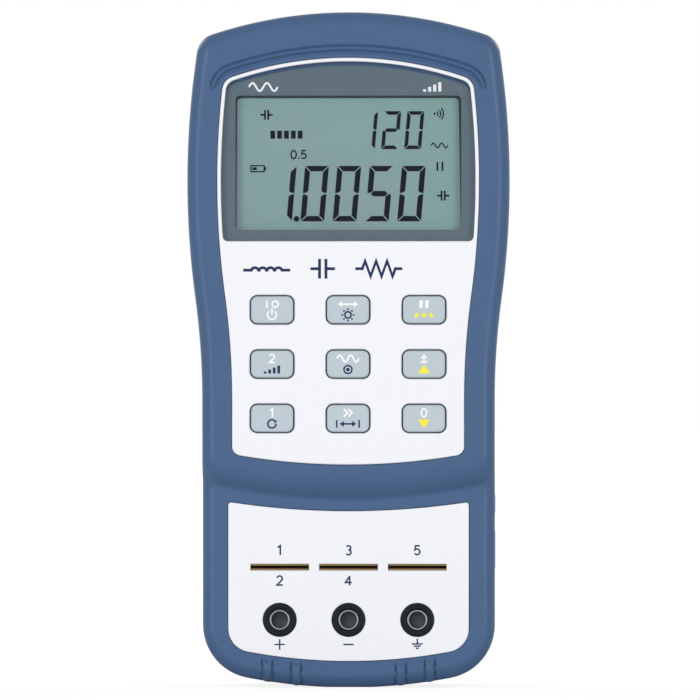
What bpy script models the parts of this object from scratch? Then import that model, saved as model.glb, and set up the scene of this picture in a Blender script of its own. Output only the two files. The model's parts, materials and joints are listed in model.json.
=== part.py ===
"""Handheld LCR meter, built as an assembly of separate pieces.

The meter stands on its bottom edge. +Z runs along its length, +X is to the right of
someone who reads it, and its face looks along -Y. Depths are measured forward from the
plane where the two halves of the case meet: a point at depth u lies at y = -u under the
case empty. All sizes are in metres.
"""
import math

import bmesh
import bpy
from mathutils import Matrix, Vector

# Clearances
FIT_GAP = 0.0003
SPLIT_GAP = 0.0004
POCKET_CLEARANCE = 0.0004
HOLE_CLEARANCE = 0.00035

# Front outline of the case
CASE_WIDTH = 0.0894
WAIST_INSET = 0.0042
BULGE_RADIUS = 0.240
FLARE_RADIUS = 0.210
BULGE_BELOW_WINDOW_TOP = 0.033
TOP_ARC_RADIUS = 0.120
TOP_CORNER_RADIUS = 0.0060
BOTTOM_ARC_RADIUS = 0.150
BOTTOM_CORNER_RADIUS = 0.0150
BASE_FLAT = 0.0120
SIDE_WALL = 0.0022
FRONT_EDGE_RADIUS = 0.0030
REAR_EDGE_RADIUS = 0.0060

# Heights, stacked upward from the bottom edge along the middle of the face
BOTTOM_BAND = 0.0073
TERMINAL_PANEL_HEIGHT = 0.0415
CREASE_ABOVE_PANEL = 0.0035
SLOPE_RUN = 0.0094
LOWEST_KEY_ROW = 0.0128
KEY_ROW_PITCH = 0.0150
BADGE_BAND = 0.0190
WINDOW_HEIGHT = 0.0495
WINDOW_BORDER = 0.0012
BROW_BAND = 0.0128

# Face plates
RIM_WIDTH = 0.0084
TERMINAL_RIM = 0.0072
PANEL_THICKNESS = 0.0026
PANEL_PROUD = 0.00035
PANEL_EDGE_ROUND = 0.0003
FRONT_WALL = 0.0016
PANEL_TOP_RADIUS = 0.100
PANEL_TOP_CORNER = 0.0042
PANEL_BOTTOM_RADIUS = 0.180
PANEL_BOTTOM_CORNER = 0.0026
TERMINAL_TOP_RADIUS = 0.219
TERMINAL_TOP_CORNER = 0.0008
TERMINAL_BOTTOM_RADIUS = 0.152
TERMINAL_BOTTOM_CORNER = 0.0065

# Step between the display half and the terminal half of the face
STEP_DROP = 0.0042
CREASE_RADIUS = 0.174
SLOPE_POWER = 1.7

# Ribs moulded on the front
BROW_GAP = 0.0015
BROW_WIDTH = 0.0021
BROW_HEIGHT = 0.0005
BROW_TAIL_DROP = 0.0085
FOOT_RIB_INNER = 0.0145
FOOT_RIB_OUTER = 0.0225
FOOT_RIB_WIDTH = 0.0023
FOOT_RIB_RISE = 0.0032
FOOT_RIB_PROUD = 0.0005

# Display
WINDOW_THICKNESS = 0.0012
WINDOW_CORNER = 0.0014
MASK_THICKNESS = 0.0004
VIEW_HEIGHT = 0.0371
VIEW_BOTTOM_BORDER = 0.0031
VIEW_SIDE_BORDER = 0.0034
VIEW_CORNER = 0.0012
GLASS_BORDER = 0.0032
GLASS_SIDE_BORDER = 0.0018
GLASS_THICKNESS = 0.0020
BACKLIGHT_THICKNESS = 0.0026
BACKLIGHT_LIFT = 0.0012
HOLDER_WALL = 0.0012
STRIP_THICKNESS = 0.0018

# Keys
KEY_WIDTH = 0.0116
KEY_HEIGHT = 0.00745
KEY_CORNER = 0.00175
KEY_SIDE_MARGIN = 0.0053
KEY_PROUD = 0.0011
KEY_EDGE_ROUND = 0.0005
KEY_TRAVEL = 0.0012
KEY_FLANGE = 0.0010
KEY_FLANGE_THICKNESS = 0.0010
PLUNGER_RADIUS = 0.0024
MAT_THICKNESS = 0.0010
MAT_MARGIN = 0.0020
COLLAR_WALL = 0.0010

# Circuit board
BOARD_THICKNESS = 0.0016
BOARD_EDGE_GAP = 0.0042
POST_RADIUS = 0.0024
POST_SIDE = 0.0095
POST_ABOVE_KEYS = 0.0090
POST_ABOVE_CREASE = 0.0047

# Test terminals
TERMINAL_PITCH = 0.01905
SLOT_HEIGHT = 0.0333
SLOT_WIDTH = 0.0160
BLADE_THICKNESS = 0.00032
BLADE_HALF_GAP = 0.00018
BLADE_FLARE = 0.00030
BLADE_FLARE_RUN = 0.0016
BLADE_SUNK = 0.0004
BLADE_TAIL = 0.0010
SLOT_BLOCK_MARGIN = 0.0022
JACK_HEIGHT = 0.0187
JACK_RADIUS = 0.00465
JACK_PROUD = 0.0003
JACK_COLLAR = 0.0012
SLEEVE_RADIUS = 0.00285
SLEEVE_BORE = 0.0021
SLEEVE_SUNK = 0.0003
SLEEVE_LENGTH = 0.0200
SLEEVE_FLOOR = 0.0015

# Ports and their covers
COVER_LIP = 0.00115
COVER_DEPTH = 0.0080
COVER_THICKNESS = 0.0018
COVER_CHAMFER = 0.0004
PORT_WALL = 0.0010
DATA_COVER_HEIGHT = 0.04275
DATA_COVER_LENGTH = 0.0215
DATA_DENT_RISE = 0.0029
DATA_DENT_LENGTH = 0.0062
DATA_DENT_DEPTH = 0.00055
POWER_COVER_HEIGHT = 0.0457
POWER_COVER_LENGTH = 0.0124
POWER_DENT_LENGTH = 0.0086
POWER_DENT_DEPTH = 0.0002
DATA_SOCKET_WIDTH = 0.0077
DATA_SOCKET_DEPTH = 0.0039
DATA_SOCKET_LENGTH = 0.0092
DATA_SOCKET_SHELL = 0.0004
POWER_SOCKET_WIDTH = 0.0090
POWER_SOCKET_DEPTH = 0.0070
POWER_SOCKET_LENGTH = 0.0115
POWER_SOCKET_BORE = 0.0028
POWER_PIN_RADIUS = 0.0010
SOCKET_FLOOR = 0.0025

# Battery and its door
BATTERY_WIDTH = 0.0265
BATTERY_DEPTH = 0.0175
BATTERY_LENGTH = 0.0465
BATTERY_BASE = 0.0410
BATTERY_ROUND = 0.0020
STUD_RADIUS = 0.0028
STUD_HEIGHT = 0.0026
STUD_PITCH = 0.0127
SNAP_THICKNESS = 0.0050
SNAP_DEPTH = 0.0125
POCKET_WALL = 0.0015
BOARD_CLEARANCE = 0.0015
DOOR_THICKNESS = 0.0020
DOOR_LEDGE = 0.0020
DOOR_LAND = 0.0095
DOOR_CORNER = 0.0030
DOOR_SCREW_SIDE = 0.0090
DOOR_SCREW_INSET = 0.0047

# Tilt stand
STAND_WIDTH = 0.0440
STAND_THICKNESS = 0.0033
STAND_HINGE_HEIGHT = 0.1170
STAND_LENGTH = 0.0920
STAND_CORNER = 0.0040
TRUNNION_RADIUS = 0.0011
TRUNNION_LENGTH = 0.0018
TRUNNION_CLEARANCE = 0.00015
TRAY_WALL = 0.0026
NOTCH_WIDTH = 0.0180
NOTCH_HEIGHT = 0.0090
NOTCH_EXTRA_DEPTH = 0.0013

# Screws
CASE_SCREW_TOP_DROP = 0.0140
CASE_SCREW_SIDE_INSET = 0.0078
CASE_SCREW_LOW_SIDE = 0.0095
CASE_SCREW_LOW_HEIGHT = 0.0140
CASE_SCREW_RADIUS = 0.0014
CASE_SCREW_HEAD_RADIUS = 0.0026
CASE_SCREW_HEAD_HEIGHT = 0.0020
CASE_SCREW_SUNK = 0.0055
CASE_SCREW_REACH = 0.0090
SMALL_SCREW_RADIUS = 0.0010
SMALL_SCREW_HEAD_RADIUS = 0.0019
SMALL_SCREW_HEAD_HEIGHT = 0.0012
SMALL_SCREW_LENGTH = 0.0060
SCREW_CLEARANCE = 0.0002
FRONT_BOSS_RADIUS = 0.0032
REAR_BOSS_RADIUS = 0.0042

# Parts on the back of the board
PROCESSOR_SIZE = 0.0140
PROCESSOR_THICKNESS = 0.0016
PROCESSOR_ABOVE_WINDOW = 0.0290
MEASURING_CHIP_WIDTH = 0.0075
MEASURING_CHIP_LENGTH = 0.0128
MEASURING_CHIP_THICKNESS = 0.0020
CHIP_SIDE = 0.0200
RELAY_WIDTH = 0.0075
RELAY_LENGTH = 0.0150
RELAY_THICKNESS = 0.0060
BUZZER_RADIUS = 0.0060
BUZZER_THICKNESS = 0.0050
BUZZER_HOLE = 0.0010
CRYSTAL_WIDTH = 0.0045
CRYSTAL_LENGTH = 0.0110
CRYSTAL_THICKNESS = 0.0035

# Facet counts
ROUND_SIDES = 20
SMALL_SIDES = 12
CORNER_STEPS = 3
EDGE_STEPS = 3
FACE_COLUMNS = 6
LEAST_FILLET = 0.0004
LEAST_FLAT = 0.0020

# Working out where two edges meet
MEETING_ROUNDS = 40
CLOSE_BY = 1e-5

# Heights worked out from the stack
TERMINAL_BOTTOM = BOTTOM_BAND
TERMINAL_TOP = TERMINAL_BOTTOM + TERMINAL_PANEL_HEIGHT
CREASE = TERMINAL_TOP + CREASE_ABOVE_PANEL
PANEL_BOTTOM = CREASE + SLOPE_RUN
KEY_ROWS = [PANEL_BOTTOM + LOWEST_KEY_ROW + row * KEY_ROW_PITCH for row in (2, 1, 0)]
WINDOW_BOTTOM = KEY_ROWS[0] + BADGE_BAND
WINDOW_TOP = WINDOW_BOTTOM + WINDOW_HEIGHT
PANEL_TOP = WINDOW_TOP + WINDOW_BORDER
CASE_HEIGHT = PANEL_TOP + BROW_BAND
BULGE_HEIGHT = WINDOW_TOP - BULGE_BELOW_WINDOW_TOP
VIEW_BOTTOM = WINDOW_BOTTOM + VIEW_BOTTOM_BORDER
VIEW_TOP = VIEW_BOTTOM + VIEW_HEIGHT

# Widths worked out from the case
HALF_WIDTH = CASE_WIDTH / 2
WAIST = HALF_WIDTH - WAIST_INSET
CURVE_SUM = BULGE_RADIUS + FLARE_RADIUS
FLARE_HEIGHT = BULGE_HEIGHT - math.sqrt(CURVE_SUM ** 2 - (CURVE_SUM - WAIST_INSET) ** 2)
KEY_COLUMN_PITCH = WAIST - RIM_WIDTH - KEY_SIDE_MARGIN - KEY_WIDTH / 2
TERMINAL_HALF = WAIST - TERMINAL_RIM

# Depths worked out from the split plane forward
COVER_MIDDLE = COVER_LIP + COVER_DEPTH / 2
BOARD_REAR = COVER_MIDDLE + DATA_SOCKET_DEPTH / 2 + FIT_GAP
BOARD_FRONT = BOARD_REAR + BOARD_THICKNESS
BACKLIGHT_REAR = BOARD_FRONT + BACKLIGHT_LIFT
GLASS_REAR = BACKLIGHT_REAR + BACKLIGHT_THICKNESS + FIT_GAP
GLASS_FRONT = GLASS_REAR + GLASS_THICKNESS
WALL_INNER = GLASS_FRONT + FIT_GAP
POCKET_FLOOR = WALL_INNER + FRONT_WALL
PANEL_BACK = POCKET_FLOOR + FIT_GAP
PANEL_FRONT = PANEL_BACK + PANEL_THICKNESS
RIM_LEVEL = PANEL_FRONT - PANEL_PROUD
MASK_BACK = POCKET_FLOOR + FIT_GAP
WINDOW_BACK = MASK_BACK + MASK_THICKNESS + FIT_GAP
WINDOW_FRONT = WINDOW_BACK + WINDOW_THICKNESS
KEY_FRONT = PANEL_FRONT + KEY_PROUD
FLANGE_FRONT = WALL_INNER - FIT_GAP
FLANGE_BACK = FLANGE_FRONT - KEY_FLANGE_THICKNESS
PLUNGER_TIP = BOARD_FRONT + FIT_GAP + KEY_TRAVEL
MAT_BACK = BOARD_FRONT + FIT_GAP
COLLAR_TOP = FLANGE_BACK - KEY_TRAVEL - FIT_GAP

# Depths worked out from the split plane backward
POCKET_FRONT = BOARD_REAR - BOARD_CLEARANCE - POCKET_WALL
BATTERY_FRONT = POCKET_FRONT - FIT_GAP
BATTERY_BACK = BATTERY_FRONT - BATTERY_DEPTH
DOOR_FRONT = BATTERY_BACK - FIT_GAP
DOOR_BACK = DOOR_FRONT - DOOR_THICKNESS
TRAY_FLOOR = DOOR_BACK
STAND_FRONT = TRAY_FLOOR - FIT_GAP
STAND_BACK = STAND_FRONT - STAND_THICKNESS
REAR_LEVEL = STAND_BACK - FIT_GAP
LEDGE_BACK = DOOR_FRONT + FIT_GAP
TRAY_FRONT = LEDGE_BACK + POCKET_WALL

# The box of the meter is centred on y = 0
SPLIT_Y = (KEY_FRONT + REAR_LEVEL) / 2


def half_width(z, inset):
    """Half width of the case at a height, drawn in by an inset square to its side."""
    if z <= FLARE_HEIGHT:
        return WAIST - inset
    meeting = BULGE_HEIGHT - (BULGE_HEIGHT - FLARE_HEIGHT) * (BULGE_RADIUS - inset) / CURVE_SUM
    if z <= meeting:
        return WAIST + FLARE_RADIUS - math.sqrt((FLARE_RADIUS + inset) ** 2 - (z - FLARE_HEIGHT) ** 2)
    return HALF_WIDTH - BULGE_RADIUS + math.sqrt((BULGE_RADIUS - inset) ** 2 - (z - BULGE_HEIGHT) ** 2)


def crease_rise(x):
    """How far the crease of the step lies above its lowest point, at a distance from the middle."""
    return CREASE_RADIUS - math.sqrt(CREASE_RADIUS ** 2 - x * x)


def rim_level(x, z):
    """Depth of the blue face: the display half, the slope of the step or the terminal half."""
    share = (CREASE + SLOPE_RUN + crease_rise(x) - z) / SLOPE_RUN
    return RIM_LEVEL - STEP_DROP * min(max(share, 0.0), 1.0) ** SLOPE_POWER


def arched_top(middle, radius):
    """Height of a top edge that arches upward."""
    return lambda x, inset: middle - radius + math.sqrt((radius - inset) ** 2 - x * x)


def sagging_top(middle, radius):
    """Height of a top edge that sags in the middle."""
    return lambda x, inset: middle + radius - math.sqrt((radius + inset) ** 2 - x * x)


def arched_bottom(middle, radius):
    """Height of a bottom edge that bows downward."""
    return lambda x, inset: middle + radius - math.sqrt((radius - inset) ** 2 - x * x)


def level_bottom(height):
    """Height of a straight bottom edge."""
    return lambda x, inset: height + inset


def corner_arc(side, edge, inset, radius, upper):
    """Fillet between the side and an end edge, in the order of an outline that runs upward.

    The middle of the fillet is where the two curves meet when both are drawn in by its radius.
    """
    radius = max(radius - inset, LEAST_FILLET)
    reach = inset + radius
    z = edge(0.0, reach)
    for _ in range(MEETING_ROUNDS):
        x = side(z, reach)
        z = edge(x, reach)
    near = CLOSE_BY
    lean = (side(z + near, reach) - side(z - near, reach)) / (2 * near)
    rise = (edge(x + near, reach) - edge(x - near, reach)) / (2 * near)
    on_side = math.atan2(-lean, 1.0)
    on_edge = math.atan2(1.0, -rise) if upper else math.atan2(-1.0, rise)
    start, end = (on_side, on_edge) if upper else (on_edge, on_side)
    angles = [start + (end - start) * step / CORNER_STEPS for step in range(CORNER_STEPS + 1)]
    return [(x + radius * math.cos(a), z + radius * math.sin(a)) for a in angles]


def spread(start, end, count):
    """Values spaced evenly between two ends, both left out."""
    return [start + (end - start) * (i + 1) / (count + 1) for i in range(count)]


def mirrored(right):
    """Closed outline from its right half, which runs upward."""
    return right + [(-x, z) for x, z in reversed(right)]


def outline(side, bottom, top, corners, inset=0.0, stations=None, flat=LEAST_FLAT, steps=(3, 4)):
    """Closed outline with a side curve, two end edges and rounded corners."""
    low = corner_arc(side, bottom, inset, corners[0], False)
    high = corner_arc(side, top, inset, corners[1], True)
    end_steps, side_steps = steps
    heights = stations or spread(low[-1][1], high[0][1], side_steps)
    low_edge = [flat / 2] + spread(flat / 2, low[0][0], end_steps)
    high_edge = spread(high[-1][0], flat / 2, end_steps) + [flat / 2]
    right = [(x, bottom(x, inset)) for x in low_edge]
    right += low + [(side(z, inset), z) for z in heights] + high
    right += [(x, top(x, inset)) for x in high_edge]
    return mirrored(right)


def bottom_edge():
    """Bottom edge of the case, whose flat lies at height zero."""
    lift = BOTTOM_ARC_RADIUS - math.sqrt(BOTTOM_ARC_RADIUS ** 2 - (BASE_FLAT / 2) ** 2)
    return arched_bottom(-lift, BOTTOM_ARC_RADIUS)


def case_outline(inset):
    """Outline of the case seen from the front, drawn in by an inset."""
    bottom = bottom_edge()
    top = arched_top(CASE_HEIGHT, TOP_ARC_RADIUS)
    crease = CREASE + crease_rise(WAIST)
    brink = crease + SLOPE_RUN
    corner_top = BOTTOM_CORNER_RADIUS + BOTTOM_BAND
    shoulder = CASE_HEIGHT - BROW_BAND
    stations = spread(corner_top, crease, 1) + [crease] + spread(crease, brink, 2) + [brink]
    stations += spread(brink, shoulder, 7)
    corners = (BOTTOM_CORNER_RADIUS, TOP_CORNER_RADIUS)
    return outline(half_width, bottom, top, corners, inset, stations, BASE_FLAT, (3, 0))


def upper_outline(inset):
    """Outline of the upper face plate."""
    bottom = arched_bottom(PANEL_BOTTOM, PANEL_BOTTOM_RADIUS)
    top = arched_top(PANEL_TOP, PANEL_TOP_RADIUS)
    corners = (PANEL_BOTTOM_CORNER, PANEL_TOP_CORNER)
    return outline(panel_side, bottom, top, corners, inset, steps=(3, 6))


def panel_side(z, inset):
    """Side of the upper face plate, which follows the side of the case."""
    return half_width(z, RIM_WIDTH + inset)


def window_outline(inset):
    """Outline of the display window, which follows the top and sides of the face plate."""
    bottom = level_bottom(WINDOW_BOTTOM)
    top = arched_top(WINDOW_TOP, PANEL_TOP_RADIUS - WINDOW_BORDER)

    def side(z, inward):
        return panel_side(z, WINDOW_BORDER + inward)

    corners = (WINDOW_CORNER, PANEL_TOP_CORNER - WINDOW_BORDER)
    return outline(side, bottom, top, corners, inset, steps=(2, 4))


def terminal_outline(inset):
    """Outline of the terminal face plate."""
    bottom = arched_bottom(TERMINAL_BOTTOM, TERMINAL_BOTTOM_RADIUS)
    top = sagging_top(TERMINAL_TOP, TERMINAL_TOP_RADIUS)

    def side(z, inward):
        return TERMINAL_HALF - inward

    corners = (TERMINAL_BOTTOM_CORNER, TERMINAL_TOP_CORNER)
    return outline(side, bottom, top, corners, inset, steps=(3, 0))


def rounded_rectangle(x, z, width, height, radius):
    """Closed outline of a rectangle with round corners about a middle point."""
    points = []
    for quarter, (sx, sz) in enumerate(((1, -1), (1, 1), (-1, 1), (-1, -1))):
        middle_x = x + sx * (width / 2 - radius)
        middle_z = z + sz * (height / 2 - radius)
        for step in range(CORNER_STEPS + 1):
            angle = math.pi / 2 * (quarter - 1 + step / CORNER_STEPS)
            points.append((middle_x + radius * math.cos(angle), middle_z + radius * math.sin(angle)))
    return points


def rectangle(x, z):
    """Closed outline of a plain rectangle from its low and high sides."""
    return [(x[0], z[0]), (x[1], z[0]), (x[1], z[1]), (x[0], z[1])]


def circle(x, z, radius, sides=ROUND_SIDES):
    """Closed outline of a circle."""
    angles = [2 * math.pi * (i + 0.5) / sides for i in range(sides)]
    return [(x + radius * math.cos(a), z + radius * math.sin(a)) for a in angles]


def loft(rings, start_cap=True, end_cap=True):
    """Closed mesh through rings of points that have the same count."""
    bm = bmesh.new()
    loops = [[bm.verts.new(point) for point in ring] for ring in rings]
    count = len(rings[0])
    for low, high in zip(loops, loops[1:]):
        for i in range(count):
            j = (i + 1) % count
            bm.faces.new((low[i], low[j], high[j], high[i]))
    if start_cap:
        bm.faces.new(reversed(loops[0]))
    if end_cap:
        bm.faces.new(loops[-1])
    bmesh.ops.recalc_face_normals(bm, faces=bm.faces)
    return bm


def facing(points, u):
    """Outline points placed at a depth."""
    return [Vector((x, -u, z)) for x, z in points]


def plate(points, front, back):
    """Solid of an outline between two depths."""
    return loft([facing(points, back), facing(points, front)])


def edged_plate(make_outline, front, back, round_radius):
    """Solid of an outline whose front edge is rounded."""
    rings = [facing(make_outline(0.0), back)]
    for step in range(EDGE_STEPS + 1):
        angle = math.pi / 2 * step / EDGE_STEPS
        inset = round_radius * (1 - math.cos(angle))
        rings.append(facing(make_outline(inset), front - round_radius * (1 - math.sin(angle))))
    return loft(rings)


def box(x, u, z):
    """Solid block from its low and high sides along width, depth and height."""
    return plate(rectangle(x, z), u[1], u[0])


def rod(x, u, z, radius, sides=SMALL_SIDES):
    """Round bar across the width between two sides."""
    loop = circle(u, z, radius, sides)
    return loft([[Vector((side, -depth, height)) for depth, height in loop] for side in x])


def turned(x, z, profile, sides=ROUND_SIDES):
    """Turned solid about a depth axis, from radius and depth pairs that start and end at its ends."""
    return loft([facing(circle(x, z, radius, sides), u) for radius, u in profile])


def turned_tube(x, z, profile, sides=ROUND_SIDES):
    """Turned ring about a depth axis, from a closed loop of radius and depth pairs."""
    rings = [facing(circle(x, z, radius, sides), u) for radius, u in profile]
    bm = loft(rings + rings[:1], start_cap=False, end_cap=False)
    bmesh.ops.remove_doubles(bm, verts=bm.verts, dist=1e-7)
    bmesh.ops.recalc_face_normals(bm, faces=bm.faces)
    return bm


def case_blank(inset, level, edge_round, base, front):
    """Solid half of the case: straight sides, a rounded edge and a face at the given level."""
    sign = 1 if front else -1
    rings = [facing(case_outline(inset), base)]
    for step in range(EDGE_STEPS + 1):
        angle = math.pi / 2 * step / EDGE_STEPS
        loop = case_outline(inset + edge_round * (1 - math.cos(angle)))
        drop = edge_round * (1 - math.sin(angle))
        rings.append([Vector((x, -sign * (level(x, z) - drop), z)) for x, z in loop])
    if not front:
        return loft(rings)
    bm = loft(rings, end_cap=False)
    bm.verts.ensure_lookup_table()
    count = len(rings[0])
    edge = bm.verts[-count:]
    half = count // 2
    rows = [[edge[0], edge[-1]]]
    for i in range(1, half - 1):
        right, left = edge[i], edge[count - 1 - i]
        rows.append([right] + [bm.verts.new(point) for point in face_row(right.co, level)] + [left])
    rows.append([edge[half - 1], edge[half]])
    bm.faces.new(rows[0] + rows[1][::-1])
    for low, high in zip(rows[1:-1], rows[2:-1]):
        for i in range(FACE_COLUMNS):
            bm.faces.new((low[i], low[i + 1], high[i + 1], high[i]))
    bm.faces.new(rows[-2] + rows[-1][::-1])
    bmesh.ops.recalc_face_normals(bm, faces=bm.faces)
    return bm


def face_row(end, level):
    """Points across the face between an edge point and its mirror, bowed as the crease is."""
    crease = CREASE + crease_rise(WAIST)
    outside = max(crease - end.z, end.z - crease - SLOPE_RUN, 0.0)
    weight = max(1.0 - outside / (2 * SLOPE_RUN), 0.0)
    points = []
    for column in range(1, FACE_COLUMNS):
        x = end.x * (1 - 2 * column / FACE_COLUMNS)
        z = end.z - weight * (crease_rise(end.x) - crease_rise(x))
        points.append(Vector((x, -level(x, z), z)))
    return points


def finish_material(name, colour, roughness, metallic=0.0):
    """Plain material of one colour."""
    material = bpy.data.materials.get(name) or bpy.data.materials.new(name)
    material.use_nodes = True
    shader = material.node_tree.nodes["Principled BSDF"]
    shader.inputs["Base Color"].default_value = (*colour, 1.0)
    shader.inputs["Roughness"].default_value = roughness
    shader.inputs["Metallic"].default_value = metallic
    material.diffuse_color = (*colour, 1.0)
    return material


FINISHES = {
    "blue_plastic": ((0.082, 0.145, 0.262), 0.5, 0.0),
    "white_plastic": ((0.88, 0.89, 0.92), 0.4, 0.0),
    "key_rubber": ((0.45, 0.51, 0.56), 0.6, 0.0),
    "clear_plastic": ((0.75, 0.80, 0.82), 0.1, 0.0),
    "mask_print": ((0.13, 0.17, 0.20), 0.5, 0.0),
    "display_glass": ((0.22, 0.36, 0.34), 0.15, 0.0),
    "light_guide": ((0.80, 0.85, 0.82), 0.4, 0.0),
    "holder_plastic": ((0.60, 0.60, 0.58), 0.5, 0.0),
    "soft_rubber": ((0.05, 0.06, 0.07), 0.8, 0.0),
    "cover_rubber": ((0.075, 0.130, 0.230), 0.65, 0.0),
    "board_laminate": ((0.02, 0.16, 0.07), 0.45, 0.0),
    "black_plastic": ((0.02, 0.025, 0.03), 0.5, 0.0),
    "gold_contact": ((0.72, 0.52, 0.22), 0.3, 1.0),
    "plated_metal": ((0.70, 0.70, 0.68), 0.25, 1.0),
    "screw_steel": ((0.45, 0.45, 0.46), 0.35, 1.0),
    "battery_can": ((0.10, 0.11, 0.12), 0.35, 0.6),
}


def clear_scene():
    """Take every object out of the open scene."""
    for old in list(bpy.data.objects):
        bpy.data.objects.remove(old, do_unlink=True)


def add_piece(name, bm, finish, origin=None):
    """Object of a piece under the case empty, with its origin at its own point."""
    if origin is not None:
        bmesh.ops.translate(bm, verts=bm.verts, vec=-origin)
    mesh = bpy.data.meshes.new(name)
    bm.to_mesh(mesh)
    bm.free()
    mesh.materials.append(finish_material(finish, *FINISHES[finish]))
    piece = bpy.data.objects.new(name, mesh)
    bpy.context.scene.collection.objects.link(piece)
    piece.parent = bpy.data.objects["case_centre"]
    if origin is not None:
        piece.location = origin
    return piece


def reshape(piece, operation, solids):
    """Cut solids from a piece, or join them to it, one after another."""
    tools = []
    for i, bm in enumerate(solids):
        tool = add_piece(f"{piece.name}_tool_{i}", bm, "blue_plastic")
        tool.hide_render = True
        tool.display_type = "WIRE"
        modifier = piece.modifiers.new(f"step_{i}", "BOOLEAN")
        modifier.operation = operation
        modifier.object = tool
        tools.append(tool)
    bpy.context.view_layer.update()
    shaped = piece.evaluated_get(bpy.context.evaluated_depsgraph_get())
    mesh = bpy.data.meshes.new_from_object(shaped)
    piece.modifiers.clear()
    piece.data = mesh
    for tool in tools:
        bpy.data.objects.remove(tool, do_unlink=True)
    return piece


def cut(piece, solids):
    """Cut solids from a piece."""
    return reshape(piece, "DIFFERENCE", solids)


def join(piece, solids):
    """Join solids to a piece."""
    return reshape(piece, "UNION", solids)


def key_places():
    """Name and middle of each key, from the top left to the bottom right."""
    names = ("power", "light", "hold", "second", "wave", "up", "first", "rate", "down")
    places = [(x * KEY_COLUMN_PITCH, z) for z in KEY_ROWS for x in (-1, 0, 1)]
    return list(zip(names, places))


def terminal_places():
    """Name and side offset of each test terminal, from left to right."""
    return [("plus", -TERMINAL_PITCH), ("minus", 0.0), ("guard", TERMINAL_PITCH)]


def case_screw_places():
    """Name and middle of each case screw."""
    top = CASE_HEIGHT - CASE_SCREW_TOP_DROP
    side = half_width(top, CASE_SCREW_SIDE_INSET)
    low = (WAIST - CASE_SCREW_LOW_SIDE, CASE_SCREW_LOW_HEIGHT)
    return [("upper_left", (-side, top)), ("upper_right", (side, top)),
            ("lower_left", (-low[0], low[1])), ("lower_right", low)]


def board_screw_places():
    """Name and middle of each circuit board screw, the lower two clear of the sockets."""
    side = WAIST - POST_SIDE
    high = KEY_ROWS[0] + POST_ABOVE_KEYS
    sockets = max(DATA_COVER_HEIGHT + DATA_SOCKET_WIDTH / 2, POWER_COVER_HEIGHT + POWER_SOCKET_WIDTH / 2)
    low = max(CREASE + POST_ABOVE_CREASE, sockets + POST_RADIUS + POCKET_CLEARANCE)
    return [("upper_left", (-side, high)), ("upper_right", (side, high)),
            ("lower_left", (-side, low)), ("lower_right", (side, low))]


def view_half():
    """Half width of the part of the display that shows."""
    return panel_side(VIEW_BOTTOM, WINDOW_BORDER + VIEW_SIDE_BORDER)


def view_outline(grow=0.0):
    """Outline of the part of the display that shows."""
    middle = (VIEW_BOTTOM + VIEW_TOP) / 2
    width, height = 2 * (view_half() + grow), VIEW_HEIGHT + 2 * grow
    return rounded_rectangle(0.0, middle, width, height, VIEW_CORNER)


def key_outline(x, z, grow=0.0):
    """Outline of a key, larger by a margin."""
    return rounded_rectangle(x, z, KEY_WIDTH + 2 * grow, KEY_HEIGHT + 2 * grow, KEY_CORNER + grow)


def port_covers():
    """Name, side, height, length and dent of each port cover."""
    return [("data_port_cover", 1, DATA_COVER_HEIGHT, DATA_COVER_LENGTH,
             (DATA_DENT_RISE, DATA_DENT_LENGTH, DATA_DENT_DEPTH)),
            ("power_port_cover", -1, POWER_COVER_HEIGHT, POWER_COVER_LENGTH,
             (0.0, POWER_DENT_LENGTH, POWER_DENT_DEPTH))]


def sides_between(side, low, high):
    """Low and high x of a span that lies on the right or left of the case."""
    return (low, high) if side > 0 else (-high, -low)


def brow_rib():
    """Arched rib above the display, which follows the face plate round its upper corners."""
    tail = PANEL_TOP - BROW_TAIL_DROP

    def edge(offset):
        loop = upper_outline(-offset)
        right = [(x, z) for x, z in loop[:len(loop) // 2] if z > tail]
        return [(panel_side(tail, -offset), tail)] + right

    inner, outer = edge(BROW_GAP), edge(BROW_GAP + BROW_WIDTH)
    band = outer + [(-x, z) for x, z in reversed(outer)]
    band += [(-x, z) for x, z in inner] + list(reversed(inner))
    return plate(band, RIM_LEVEL + BROW_HEIGHT, RIM_LEVEL - BROW_HEIGHT)


def foot_rib(x):
    """Short round rib that runs down the face and over the bottom edge of the front.

    Each station is a rise above the bend, an angle round the bend and a share of the full width.
    """
    radius = FOOT_RIB_WIDTH / 2
    turn = Vector((x, FRONT_EDGE_RADIUS + STEP_DROP - RIM_LEVEL,
                   FRONT_EDGE_RADIUS + bottom_edge()(x, 0.0)))
    across = Vector((1.0, 0.0, 0.0))
    stations = [(FOOT_RIB_RISE, 0.0, 0.5), (FOOT_RIB_RISE - radius, 0.0, 1.0), (0.0, 0.0, 1.0),
                (0.0, 0.4, 1.0), (0.0, 0.8, 1.0), (0.0, 1.2, 0.6)]
    rings = []
    for rise, angle, share in stations:
        outward = Vector((0.0, -math.cos(angle), -math.sin(angle)))
        sunk = FRONT_EDGE_RADIUS + FOOT_RIB_PROUD - radius
        centre = turn + outward * sunk + Vector((0.0, 0.0, rise))
        spokes = [2 * math.pi * i / SMALL_SIDES for i in range(SMALL_SIDES)]
        width = radius * share
        rings.append([centre + width * (across * math.cos(a) + outward * math.sin(a)) for a in spokes])
    return loft(rings)


def cover_pocket(side, height, length):
    """Space in the side of the case that a port cover fills."""
    x = sides_between(side, WAIST - COVER_THICKNESS - FIT_GAP, HALF_WIDTH)
    depth = COVER_DEPTH / 2 + FIT_GAP
    reach = length / 2 + FIT_GAP
    return box(x, (COVER_MIDDLE - depth, COVER_MIDDLE + depth), (height - reach, height + reach))


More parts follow.
